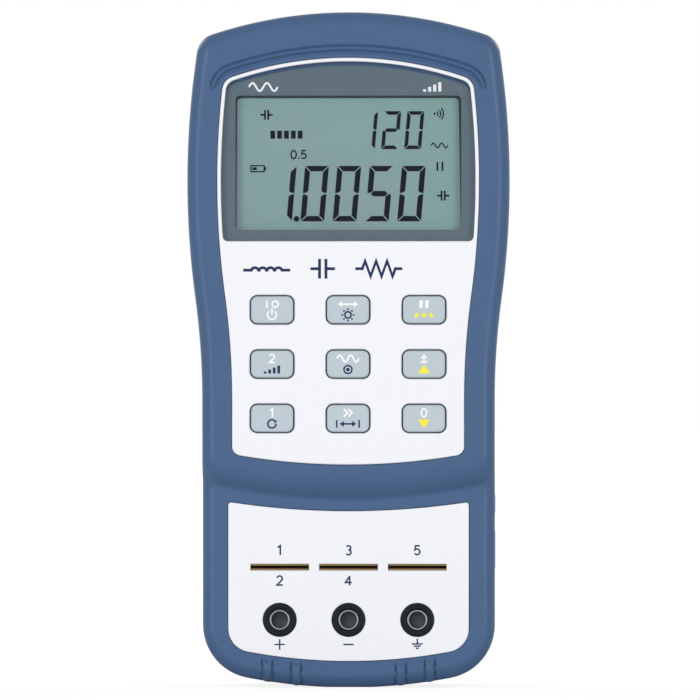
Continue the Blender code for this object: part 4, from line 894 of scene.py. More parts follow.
def on_points(tree, given, form, turn=0.0):
    """Last nodes of a geometry tree: a form on each point, turned about x, made real and painted."""
    place = add_node(tree, "GeometryNodeInstanceOnPoints",
                     {"Points": given["Geometry"], "Instance": form.outputs[0], "Rotation": (turn, 0.0, 0.0)})
    real = add_node(tree, "GeometryNodeRealizeInstances", {"Geometry": place.outputs[0]})
    paint = add_node(tree, "GeometryNodeSetMaterial",
                     {"Geometry": real.outputs[0], "Material": given["Material"]})
    add_node(tree, "NodeGroupOutput", {"Geometry": paint.outputs[0]})
    return tree


def moved(tree, form, axis_values):
    """Form moved along the axes that are given, by sockets."""
    offset = add_node(tree, "ShaderNodeCombineXYZ", axis_values)
    return add_node(tree, "GeometryNodeTransform",
                    {"Geometry": form.outputs[0], "Translation": offset.outputs[0]})


def ring_tree():
    """Rounded rings that look forward, one on each point."""
    tree, given = geometry_tree("ring_tree", ("Outer Radius", "Bore Radius", "Length", "Edge Round"))
    outer, bore = given["Outer Radius"], given["Bore Radius"]
    centre = math_node(tree, "MULTIPLY", math_node(tree, "ADD", outer, bore), 0.5)
    path = add_node(tree, "GeometryNodeCurvePrimitiveCircle", {"Resolution": ROUND_SIDES, "Radius": centre})
    section = add_node(tree, "GeometryNodeCurvePrimitiveQuadrilateral",
                       {"Width": math_node(tree, "SUBTRACT", outer, bore), "Height": given["Length"]})
    eased = add_node(tree, "GeometryNodeFilletCurve", {}, mode="POLY")
    feed(tree, eased, {"Curve": section.outputs[0], "Count": EDGE_STEPS, "Radius": given["Edge Round"]})
    sweep = add_node(tree, "GeometryNodeCurveToMesh",
                     {"Curve": path.outputs[0], "Profile Curve": eased.outputs[0]})
    return on_points(tree, given, sweep, math.pi / 2)


def screw_tree():
    """Screw heads with a cross recess and a shank, one on each point, driven from the back."""
    tree, given = geometry_tree("screw_tree", ("Head Radius", "Head Height", "Shank Radius", "Shank Length",
                                               "Recess Width"))
    radius, height = given["Head Radius"], given["Head Height"]
    top_share, recess_reach, recess_rise = 0.86, 1.25, 0.9

    def times(value, factor):
        return math_node(tree, "MULTIPLY", value, factor)

    def joined(forms):
        union = add_node(tree, "GeometryNodeMeshBoolean", {}, operation="UNION")
        for form in forms:
            tree.links.new(form.outputs[0], union.inputs["Mesh 2"])
        return union

    head = add_node(tree, "GeometryNodeMeshCone",
                    {"Vertices": HEAD_SIDES, "Radius Bottom": radius,
                     "Radius Top": times(radius, top_share), "Depth": height})
    arms = []
    # One arm of the cross is a little deeper, so that their floors don't lie in one plane
    for long, short, deep in ((0, 1, 1.0), (1, 0, 1.06)):
        sizes = {long: times(radius, recess_reach), short: given["Recess Width"], 2: times(height, deep)}
        size = add_node(tree, "ShaderNodeCombineXYZ", sizes)
        arm = add_node(tree, "GeometryNodeMeshCube", {"Size": size.outputs[0]})
        arms.append(moved(tree, arm, {2: times(height, recess_rise)}))
    run = given["Shank Length"]
    shank = add_node(tree, "GeometryNodeMeshCylinder",
                     {"Vertices": HOLE_SIDES, "Radius": given["Shank Radius"], "Depth": run})
    fall = math_node(tree, "SUBTRACT", height, run)
    whole = joined((head, moved(tree, shank, {2: times(fall, 0.5)})))
    cross = add_node(tree, "GeometryNodeMeshBoolean", {}, operation="DIFFERENCE")
    feed(tree, cross, {"Mesh 1": whole.outputs[0], "Mesh 2": joined(arms).outputs[0]})
    return on_points(tree, given, cross, -math.pi / 2)


def rib_tree():
    """Round bars with tapered ends that lie across the width, one on each point."""
    tree, given = geometry_tree("rib_tree", ("Length", "Width", "Rise"))
    stations, sides, bluntness, thinnest = 40, 16, 16.0, 0.05
    path = add_node(tree, "GeometryNodeCurvePrimitiveLine", {}, mode="DIRECTION")
    feed(tree, path, {"Direction": (1.0, 0.0, 0.0), "Length": given["Length"]})
    fine = add_node(tree, "GeometryNodeResampleCurve", {"Curve": path.outputs[0], "Count": stations})
    along = tree.nodes.new("GeometryNodeSplineParameter").outputs["Factor"]
    off = math_node(tree, "SUBTRACT", math_node(tree, "MULTIPLY", along, 2.0), 1.0)
    ends = math_node(tree, "POWER", math_node(tree, "ABSOLUTE", off), bluntness)
    taper = math_node(tree, "SQRT", math_node(tree, "SUBTRACT", 1.0, ends))
    radius = math_node(tree, "MULTIPLY", given["Width"], 0.5)
    section = add_node(tree, "GeometryNodeCurvePrimitiveCircle", {"Resolution": sides, "Radius": radius})
    sweep = add_node(tree, "GeometryNodeCurveToMesh",
                     {"Curve": fine.outputs[0], "Profile Curve": section.outputs[0], "Fill Caps": True,
                      "Scale": math_node(tree, "MAXIMUM", taper, thinnest)})
    back = {0: math_node(tree, "MULTIPLY", given["Length"], -0.5),
            1: math_node(tree, "SUBTRACT", given["Rise"], radius)}
    return on_points(tree, given, moved(tree, sweep, back))


def grown(name, make, points, sizes, look):
    """Plain mesh of a geometry tree's forms on the given points."""
    tree = shared_group(make)
    seed = bpy.data.meshes.new(name + "_points")
    seed.from_pydata([tuple(point) for point in points], [], [])
    holder = linked(name + "_points", seed)
    modifier = holder.modifiers.new("forms", "NODES")
    modifier.node_group = tree
    keys = {item.name: item.identifier for item in tree.interface.items_tree if item.in_out == "INPUT"}
    for label, value in {**sizes, "Material": finishes()[look]}.items():
        modifier[keys[label]] = value
    mesh = evaluated(holder)
    holder.modifiers.remove(modifier)
    bpy.data.objects.remove(holder, do_unlink=True)
    return mesh


# Printed signs, drawn as flat outlines

def band(path, width):
    """Outline of a stroke along a path, with mitred bends."""
    sharpest = 0.4
    normals = []
    for (ax, az), (bx, bz) in zip(path, path[1:]):
        reach = math.hypot(bx - ax, bz - az)
        normals.append(Vector((az - bz, bx - ax)) / reach)
    left, right = [], []
    for i, (x, z) in enumerate(path):
        before, after = normals[max(i - 1, 0)], normals[min(i, len(normals) - 1)]
        lean = (before + after).normalized()
        reach = lean * width / 2 / max(lean.dot(before), sharpest)
        left.append((x + reach.x, z + reach.y))
        right.append((x - reach.x, z - reach.y))
    return right + left[::-1]


def arc(x, z, radius, start, end, steps=24):
    """Points along an arc, with its ends in degrees."""
    return on_arc(x, z, radius, [math.radians(a) for a in steps_between(start, end, steps)])


def bar(x, z, width, height):
    """Outline of an upright rectangle about its middle."""
    return [(x + right * width / 2, z + up * height / 2) for right, up in CORNERS]


def hoop(x, z, radius, width):
    """Two halves of a ring."""
    return [band(arc(x, z, radius, start, start + 180), width) for start in (0, 180)]


def triangle(x, z, width, height):
    """Outline of a triangle that points up, or down where the height is negative."""
    points = [(x - width / 2, z - height / 2), (x + width / 2, z - height / 2), (x, z + height / 2)]
    return points if height > 0 else points[::-1]


def plus_sign(x, z, size, width):
    """Outline of a plus sign."""
    a, b = size / 2, width / 2
    corners = ((a, -b), (a, b), (b, b), (b, a), (-b, a), (-b, b), (-a, b), (-a, -b), (-b, -b), (-b, -a),
               (b, -a), (b, -b))
    return [(x + dx, z + dz) for dx, dz in corners]


def wave(x, z, width, height, stroke, turns=1):
    """Outline of a sine wave."""
    steps = 24 * turns
    path = [(x + width * (i / steps - 0.5), z + height / 2 * math.sin(2 * math.pi * turns * i / steps))
            for i in range(steps + 1)]
    return band(path, stroke)


def coil_sign(x, z, width, stroke, humps=4):
    """Outlines of an inductor sign: a row of half rounds between two leads."""
    radius = width / (2 * humps + 4)
    reach, lead = radius * (humps + 1) - stroke / 4, 2 * radius + stroke / 2
    shapes = [band(arc(x + radius * (2 * i + 1 - humps), z, radius, 180, 0), stroke) for i in range(humps)]
    return shapes + [bar(x + side * reach, z + stroke / 2, lead, stroke) for side in SIDES]


def plates_sign(x, z, size, stroke):
    """Outlines of a capacitor sign: two plates between two leads."""
    gap = size * 0.26
    lead = (size - gap) / 2 - stroke / 2
    reach = gap / 2 + stroke / 2 + lead / 2
    shapes = [bar(x + side * gap / 2, z, stroke, size * 0.8) for side in SIDES]
    return shapes + [bar(x + side * reach, z, lead, stroke) for side in SIDES]


def zigzag_sign(x, z, width, height, stroke):
    """Outline of a resistor sign: a zigzag between two leads."""
    turns = (0, 1, -1, 1, -1, 1, -1, 0)
    places = (0.0, 0.5, 1.5, 2.5, 3.5, 4.5, 5.5, 6.0)
    step = width * 0.7 / 6
    path = [(x + step * (place - 3), z + turn * height / 2) for place, turn in zip(places, turns)]
    return [band([(x - width / 2, z)] + path + [(x + width / 2, z)], stroke)]


def chevrons(x, z, size, stroke):
    """Outlines of two arrowheads that point right."""
    return [band([(cx - size / 4, z + size / 2), (cx + size / 4, z), (cx - size / 4, z - size / 2)], stroke)
            for cx in (x - size * 0.3, x + size * 0.3)]


def two_way(x, z, width, stroke):
    """Outlines of a double arrow."""
    head = 2.6 * stroke
    shapes = [bar(x, z, width - 1.6 * head, stroke)]
    for side in SIDES:
        tip = x + side * width / 2
        points = [(tip, z), (tip - side * head, z + head * 0.7), (tip - side * head, z - head * 0.7)]
        shapes.append(points if side < 0 else points[::-1])
    return shapes


def sun_sign(x, z, size, stroke):
    """Outlines of a sun: a ring with eight rays."""
    shapes = hoop(x, z, size * 0.24, stroke)
    for ray in range(8):
        a = math.pi / 4 * ray
        path = [(x + size * r * math.cos(a), z + size * r * math.sin(a)) for r in (0.36, 0.50)]
        shapes.append(band(path, stroke))
    return shapes


def level_bars(x, z, width, height, count=4):
    """Outlines of bars that rise from left to right."""
    pitch, talls = width / count, [height * (i + 1) / count for i in range(count)]
    return [bar(x - width / 2 + pitch * (i + 0.5), z - height / 2 + tall / 2, pitch * 0.6, tall)
            for i, tall in enumerate(talls)]


def turn_sign(x, z, size, stroke):
    """Outlines of a circular arrow."""
    radius = size * 0.38
    tip = arc(x, z, radius, 40, 40, 1)[0]
    head = size * 0.28
    arrow = [(tip[0] + head * 0.7, tip[1] + head * 0.1), (tip[0] - head * 0.6, tip[1] + head * 0.55),
             (tip[0] - head * 0.1, tip[1] - head * 0.8)]
    return [band(arc(x, z, radius, 60, 360), stroke), arrow]


def power_sign(x, z, size, stroke):
    """Outlines of an open ring with a bar."""
    return [band(arc(x, z, size * 0.40, 125, 415), stroke), bar(x, z + size * 0.30, stroke, size * 0.5)]


def earth_sign(x, z, size, stroke):
    """Outlines of an earth sign: a stem over three bars that get shorter."""
    bars = [bar(x, z + size * (0.06 - 0.2 * i), size * share, stroke)
            for i, share in enumerate((1.0, 0.64, 0.28))]
    return [bar(x, z + size * 0.32, stroke, size * 0.46)] + bars


def sound_sign(x, z, size, stroke):
    """Outlines of a dot with three sound waves."""
    waves = [band(arc(x - size * 0.5, z, size * radius, -38, 38, 12), stroke)
             for radius in (0.35, 0.60, 0.85)]
    return [circle(x - size * 0.45, z, stroke * 0.9, 16)] + waves


def battery_sign(x, z, size, stroke):
    """Outlines of a battery: a frame, a stud and one bar of charge."""
    high = size * 0.5
    shapes = [bar(x, z + side * (high - stroke) / 2, size, stroke) for side in SIDES]
    shapes += [bar(x + side * (size - stroke) / 2, z, stroke, high - 2 * stroke) for side in SIDES]
    shapes.append(bar(x + size / 2 + stroke / 2, z, stroke, high * 0.45))
    shapes.append(bar(x - size * 0.2, z, size * 0.3, high - 3.4 * stroke))
    return shapes


def seven_segments(digit, x, z, size, stroke, slant):
    """Outlines of the lit segments of a digit whose lower left corner is given."""
    width, height = size
    gap, half = stroke * 0.13, height / 2
    across = [(gap, 0), (width - gap, 0), (width - stroke - gap, stroke), (stroke + gap, stroke)]
    upright = [(0, gap), (stroke, stroke + gap), (stroke, half - stroke * 0.34 - gap),
               (stroke * 0.45, half - gap), (0, half - gap)]
    centre = [(stroke * 0.5 + gap, half), (stroke + gap, half - stroke / 2),
              (width - stroke - gap, half - stroke / 2), (width - stroke * 0.5 - gap, half),
              (width - stroke - gap, half + stroke / 2), (stroke + gap, half + stroke / 2)]
    parts = {
        "d": across,
        "a": [(px, height - pz) for px, pz in across],
        "g": centre,
        "e": upright,
        "f": [(px, height - pz) for px, pz in upright],
        "c": [(width - px, pz) for px, pz in upright],
        "b": [(width - px, height - pz) for px, pz in upright],
    }
    lit = {"0": "abcdef", "1": "bc", "2": "abged", "3": "abgcd", "4": "fgbc", "5": "afgcd", "6": "afgedc",
           "7": "abc", "8": "abcdefg", "9": "abcdfg"}[digit]
    return [[(x + px + slant * pz, z + pz) for px, pz in parts[name]] for name in lit]


def numeral(digit, x, z, height, stroke):
    """Outlines of a plain numeral about its middle."""
    paths = {
        "0": [[(0.30 * px, 0.46 * pz) for px, pz in arc(0, 0, 1, start, start + 180)] for start in (0, 180)],
        "1": [[(-0.20, 0.26), (0.06, 0.46), (0.06, -0.50)]],
        "2": [arc(0, 0.20, 0.27, 165, -30, 16) + [(-0.28, -0.46), (0.32, -0.46)]],
        "3": [arc(0, 0.23, 0.23, 150, -90, 16), arc(0, -0.21, 0.26, 90, -150, 16)],
        "4": [[(0.34, -0.20), (-0.32, -0.20), (0.12, 0.46)], [(0.12, 0.46), (0.12, -0.50)]],
        "5": [[(0.26, 0.46), (-0.18, 0.46), (-0.24, 0.04)] + arc(-0.03, -0.16, 0.29, 125, -145, 16)],
    }[digit]
    return [band([(x + height * px, z + height * pz) for px, pz in path], stroke) for path in paths]


def slabs(shapes, surface):
    """Thin closed solids of printed outlines, joined where they meet, on a surface that looks forward."""
    flat, triangles, _, centres = triangulated([Vector(point) for shape in shapes for point in shape], shapes)
    printed = np.zeros(len(triangles), bool)
    for shape in shapes:
        printed |= crossings(centres, shape) % 2 == 1
    bm = bmesh.new()
    verts = [bm.verts.new((point.x, surface - PRINT_THICKNESS, point.y)) for point in flat]
    for triangle, keep in zip(triangles, printed):
        if keep:
            bm.faces.new([verts[i] for i in triangle])
    bmesh.ops.delete(bm, geom=[vert for vert in bm.verts if not vert.link_faces], context="VERTS")
    backs = bmesh.ops.extrude_face_region(bm, geom=bm.faces[:], use_keep_orig=True)["geom"]
    backs = [item for item in backs if isinstance(item, bmesh.types.BMVert)]
    bmesh.ops.translate(bm, verts=backs, vec=(0.0, PRINT_THICKNESS + PRINT_SUNK, 0.0))
    return bm


def print_signs(name, shapes, surface, ink, body, slot):
    """Printed signs on a surface that looks forward, as one piece."""
    add_piece(name, slabs(shapes, surface), body, slot, look=ink)


# Pieces

def edge_roll(shape):
    """Inset, rise and tilt of each station of the front edge, from the side to the face."""
    stations = [(0.0, 0.0, 0.0)]
    inset, rise = 0.0, 0.0
    for radius, start, end in ((shape.roll_large, 0.0, shape.roll_lean),
                               (shape.roll_small, shape.roll_lean, math.pi / 2)):
        for angle in steps_between(start, end, EDGE_STEPS)[1:]:
            stations.append((inset + radius * (math.cos(start) - math.cos(angle)),
                             rise + radius * (math.sin(angle) - math.sin(start)), angle))
        inset, rise, _ = stations[-1]
        if end < math.pi / 2:
            inset += shape.roll_band * math.sin(end)
            rise += shape.roll_band * math.cos(end)
            stations.append((inset, rise, end))
    return stations


def lifted_ring(form, inset, drop, tilt):
    """Ring of the front edge at a station, with the foot ribs raised on it."""
    loop = form.case_outline(inset)
    ring = form.on_face(loop, drop)
    for i, (x, z) in enumerate(loop):
        lift = form.foot_lift(x, z, tilt) if z < form.terminal_low + form.shape.bottom_corner else 0.0
        if lift:
            ax, az = loop[i - 1]
            bx, bz = loop[(i + 1) % len(loop)]
            side = Vector((bz - az, 0.0, ax - bx)).normalized()
            ring[i] += lift * (side * math.cos(tilt) + Vector((0.0, -math.sin(tilt), 0.0)))
    return ring


def slope_points(form, reach):
    """Points across the slope, closest together at the crease, as x, z and lift."""
    run, past, half_columns, slope_rows = form.shape.slope_run, 0.001, 40, 13
    rows = [-0.0030, -0.0011, -0.0008, -0.0005, -0.0002, 0.0001, 0.0004]
    rows += spread(rows[-1], run, slope_rows) + [run, run + past]
    columns = [reach * (column / half_columns - 1) for column in range(2 * half_columns + 1)]
    return [(x, form.crease_at(x) + row, 0.0) for x in columns for row in rows]


def brow_points(form):
    """Points of the brow rib, whose ends get narrow and low down the sides, as x, z and lift."""
    shape = form.shape
    counts, fade, narrowest = (90, 190), 0.004, 0.35
    tail = form.plate_high - shape.brow_tail
    section = form.brow_section()
    middle_line = form.upper_outline(-(shape.brow_gap + shape.brow_width / 2), counts)
    curves = [form.upper_outline(-distance, counts) for distance, _ in section]
    points = []
    for i, (cx, cz) in enumerate(middle_line[:len(middle_line) // 2]):
        if cz <= tail - shape.brow_width:
            continue
        taper = math.sqrt(1 - (1 - min(max((cz - tail) / fade, 0.0), 1.0)) ** 2)
        width = narrowest + (1 - narrowest) * taper
        for (_, lift), curve in zip(section, curves):
            x = cx + (curve[i][0] - cx) * width
            z = cz + (curve[i][1] - cz) * width
            points += [(x, z, taper * lift), (-x, z, taper * lift)]
    return points


def foot_points(form, inset):
    """Points of the foot ribs from the edge of the face to the terminal plate, as x, z and lift."""
    shape = form.shape
    half, past, steps = shape.foot_width / 2, 0.0015, 24
    rows = spread(inset, form.terminal_low + past, steps)
    shares = sorted({sign * share for share in RIB_SHARES for sign in SIDES})
    ribs = (-shape.foot_outer, -shape.foot_inner, shape.foot_inner, shape.foot_outer)
    columns = [rib + share * half for rib in ribs for share in shares]
    return [(x, z, form.foot_lift(x, z, math.pi / 2)) for x in columns for z in rows]


def front_case_form(form):
    """Closed shell of the front half: rolled edge, stepped face, ribs and pockets for the plates."""
    shape = form.shape
    bm = bmesh.new()
    base = back_of("front_case")
    taper = form.taper_at(base)
    roll = edge_roll(shape)
    full_inset, full_rise, _ = roll[-1]
    face_inset = full_inset + SUPPORT
    inner_drop = form.face - front_of("display_glass") - GAP
    wall = form.case_outline(shape.wall)
    rings = [form.on_face(wall, inner_drop), at_depth(wall, base),
             at_depth(form.case_outline(taper + FINE_ROUND), base),
             at_depth(form.case_outline(taper), base + FINE_ROUND)]
    rings += [lifted_ring(form, inset, full_rise - rise, tilt) for inset, rise, tilt in roll]
    rings.append(lifted_ring(form, face_inset, 0.0, math.pi / 2))
    inner_edge, face_edge = loft(bm, rings)
    upper_holes = [form.key_outline(name, shape.key_gap) for name in KEY_NODES] + [form.view_outline(GAP)]
    lower_holes = [slot_outline(name, GAP) for name in TERMINALS]
    lower_holes += [jack_outline(name, GAP) for name in TERMINALS]
    brinks, ceilings = [], [inner_edge]
    for curve, node, holes in ((form.upper_outline, "upper_face_plate", upper_holes),
                               (form.terminal_outline, "terminal_face_plate", lower_holes)):
        floor = back_of(node) - GAP
        rings = [form.on_face(curve(-SEAM - FINE_ROUND - SUPPORT))]
        edge = reversed(round_over(FINE_ROUND))
        rings += [form.on_face(curve(-SEAM - inset), drop) for inset, drop in edge]
        rings.append(at_depth(curve(-SEAM), floor))
        brink, foot = loft(bm, rings)
        brinks.append(brink)
        floors = [foot]
        for hole in holes:
            low, high = loft(bm, [at_depth(hole, floor), form.on_face(hole, inner_drop)])
            floors.append(low)
            ceilings.append(high)
        fill(bm, floors)
    lifted = slope_points(form, form.waist - face_inset - SUPPORT) + brow_points(form)
    lifted += foot_points(form, face_inset)
    fill(bm, [face_edge] + brinks,
         [Vector((x, SPLIT - form.level(x, z) - lift, z)) for x, z, lift in lifted])
    inner_columns, inner_rows = 30, (-0.0005, 0.0, 0.0024, 0.0048, 0.0072, shape.slope_run)
    slope = [(x, form.crease_at(x) + row) for x in spread(-form.waist, form.waist, inner_columns)
             for row in inner_rows]
    fill(bm, ceilings, form.on_face(slope, inner_drop))
    return bm


def slot_outline(name, grow):
    """Outline of a test slot, which its two blades line."""
    low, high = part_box(f"contact_{name}_lower")[0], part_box(f"contact_{name}_upper")[1]
    return bar(*face_box(low, high, grow))


def jack_outline(name, grow):
    """Outline of the hole of a jack."""
    place = middle(f"jack_sleeve_{name}")
    return circle(place.x, place.z, JACK_RADIUS + grow)


def stand_hinge():
    """Point on the hinge line of the stand."""
    joint = next(joint for joint in frame["record"]["behaviour"]["joints"] if joint["name"] == "stand_hinge")
    return Vector(joint["pos_m"])


class METER_OT_front_case(bpy.types.Operator):
    """Front half of the case, with the pockets of its port covers"""

    bl_idname = "meter.front_case"
    bl_label = "Front case"

    def execute(self, context):
        form = CaseForm(context.scene.meter_shape)
        gap = Vector((GAP, GAP, GAP))
        cutters = []
        for port, side in (("data", 1), ("power", -1)):
            low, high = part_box(f"{port}_port_cover")
            inner = low.x - GAP if side > 0 else high.x + GAP
            ends = {f"{port}_port_cover": (inner, side * form.half),
                    f"{port}_socket": (side * (form.waist - 2 * form.shape.wall), side * form.waist)}
            for node, reach in ends.items():
                low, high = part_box(node)
                low, high = low - gap, high + gap
                low.x, high.x = sorted(reach)
                cutters.append(block(low, high))
        mesh = shaped("front_case", front_case_form(form), cutters)
        finish_piece("front_shell", mesh, "case", "blue_plastic", "front_case")
        return {"FINISHED"}


class METER_OT_rear_case(bpy.types.Operator):
    """Rear half of the case, with the tray of the stand, the door recess and the screw wells"""

    bl_idname = "meter.rear_case"
    bl_label = "Rear case"

    def execute(self, context):
        form = CaseForm(context.scene.meter_shape)
        mesh = shaped("rear_case", self.shell(form), self.cutters(form), CUT_EASE)
        finish_piece("rear_shell", mesh, "case", "blue_plastic", "rear_case")
        return {"FINISHED"}

    def shell(self, form):
        """Closed block of the rear half, with a skirt inside the front half and a fine parting groove."""
        shape = form.shape
        base, back = -SPLIT_GAP / 2, back_of("rear_case")
        taper, back_taper = form.taper_at(base), form.taper_at(back + shape.rear_roll)
        skirt, skirt_top, seam = shape.wall + 0.0010, 0.0012, shape.wall + SEAM
        groove, seat = 0.0011, SPLIT_GAP / 2 - 0.00005
        stations = [(skirt, back / 2), (skirt, skirt_top), (seam, skirt_top), (seam, seat), (groove, seat),
                    (groove, base), (taper + FINE_ROUND, base), (taper, base - FINE_ROUND)]
        stations += [(back_taper + inset, back + drop) for inset, drop in round_over(shape.rear_roll, 10)]
        stations.append((back_taper + shape.rear_roll + SUPPORT, back))
        return capped(bmesh.new(), [at_depth(form.case_outline(inset, (16, 60)), u) for inset, u in stations])

    def cutters(self, form):
        """Closed forms of the tray, the door, the battery, the bare field, the hinge and the screws."""
        back = back_of("rear_case")
        past = back - form.shape.wall
        low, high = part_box("tilt_stand")
        tray_low, tray_high = low.z - PLAY, high.z + PLAY
        tray = bar(0.0, (tray_low + tray_high) / 2, 2 * (STAND_HALF + PLAY), tray_high - tray_low)
        notch_size, notch_corner, notch_rise = 0.0180, 0.0045, 0.0013
        notch = rounded_rectangle(0.0, tray_low, notch_size, notch_size, notch_corner)
        floor = back_of("battery_door")
        door = rounded_rectangle(*face_box(*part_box("battery_door"), GAP), DOOR_CORNER + GAP)
        cell_low, cell_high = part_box("battery")
        snap_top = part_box("battery_snap")[1].z
        pocket = rounded_rectangle(0.0, (cell_low.z + snap_top) / 2, cell_high.x - cell_low.x + 2 * PLAY,
                                   snap_top - cell_low.z + 2 * PLAY, 0.0010)
        field = rounded_rectangle(0.0, form.shape.label_height, *LABEL_FIELD)
        sunk = [(tray, floor), (notch, floor + notch_rise), (door, front_of("battery_door") + GAP),
                (pocket, 0.0), (field, back + LABEL_SINK)]
        well, well_depth, bore, bore_end = 0.0030, 0.0023, 0.0016, 0.0010
        holes = []
        for node in CASE_SCREWS:
            place = middle(node)
            holes.append((circle(place.x, place.z, well, WELL_SIDES), back_of(node) + well_depth))
            holes.append((circle(place.x, place.z, bore, HOLE_SIDES), bore_end))
        for node in DOOR_SCREWS:
            place = middle(node)
            holes.append((circle(place.x, place.z, DOOR_HOLE, HOLE_SIDES), front_of(node) + GAP))
        reach, hinge_play = high.x + GAP, 0.00015
        cutters = [prism(points, front, past) for points, front in sunk]
        cutters.append(rod(bmesh.new(), stand_hinge(), (-reach, reach), TRUNNION_RADIUS + hinge_play))
        return cutters + [prism(points, front, past) for points, front in holes]


class METER_OT_face_plates(bpy.types.Operator):
    """White plates of the display half and the terminal half, with their printed signs"""

    bl_idname = "meter.face_plates"
    bl_label = "Face plates"

    def execute(self, context):
        form = CaseForm(context.scene.meter_shape)
        shape = form.shape
        upper_holes = [lambda grow, key=key: form.key_outline(key, shape.key_gap + grow) for key in KEY_NODES]
        upper_holes.append(lambda grow: form.window_outline(-grow))
        lower_holes = [lambda grow, end=end: slot_outline(end, SEAM + grow) for end in TERMINALS]
        lower_holes += [lambda grow, end=end: jack_outline(end, SEAM / 2 + grow) for end in TERMINALS]
        edge = shape.plate_round
        for name, curve, holes, ease in (("upper", form.upper_outline, upper_holes, edge),
                                         ("terminal", form.terminal_outline, lower_holes, edge / 2)):
            node = name + "_face_plate"
            bm = punched_plate(curve, holes, front_of(node), back_of(node), ease)
            add_piece(name + "_plate", bm, "case", "white_plastic", node)
        centre = (form.keys["key_light"].z + shape.key_height / 2 + form.window_low) / 2
        stroke = 0.0008
        legend = coil_sign(-0.0225, centre - stroke, 0.0130, stroke)
        legend += plates_sign(-0.0070, centre, 0.0068, stroke)
        legend += zigzag_sign(0.0085, centre, 0.0130, 0.0042, stroke)
        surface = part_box("upper_face_plate")[0].y
        print_signs("component_signs", legend, surface, "navy_ink", "case", "white_plastic")
        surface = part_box("terminal_face_plate")[0].y
        print_signs("terminal_signs", self.terminal_signs(), surface, "navy_ink", "case", "white_plastic")
        return {"FINISHED"}

    def terminal_signs(self):
        """Numerals above and below the test slots, and a sign under each jack."""
        plus, minus, guard = [middle(f"jack_sleeve_{name}").x for name in TERMINALS]
        slot_z = middle("contact_plus_upper").z
        above, below, tall, bold = slot_z + 0.0042, slot_z - 0.0042, 0.0027, 0.00045
        shapes = []
        for digit, x, z in (("1", plus, above), ("2", plus, below), ("3", minus, above), ("4", minus, below),
                            ("5", guard, above)):
            shapes += numeral(digit, x, z, tall, bold)
        sign_z, size, stroke = middle("jack_sleeve_plus").z - 0.0068, 0.0029, 0.0004
        shapes += [plus_sign(plus, sign_z, size, stroke), bar(minus, sign_z, size, stroke)]
        return shapes + earth_sign(guard, sign_z, 0.0030, stroke)


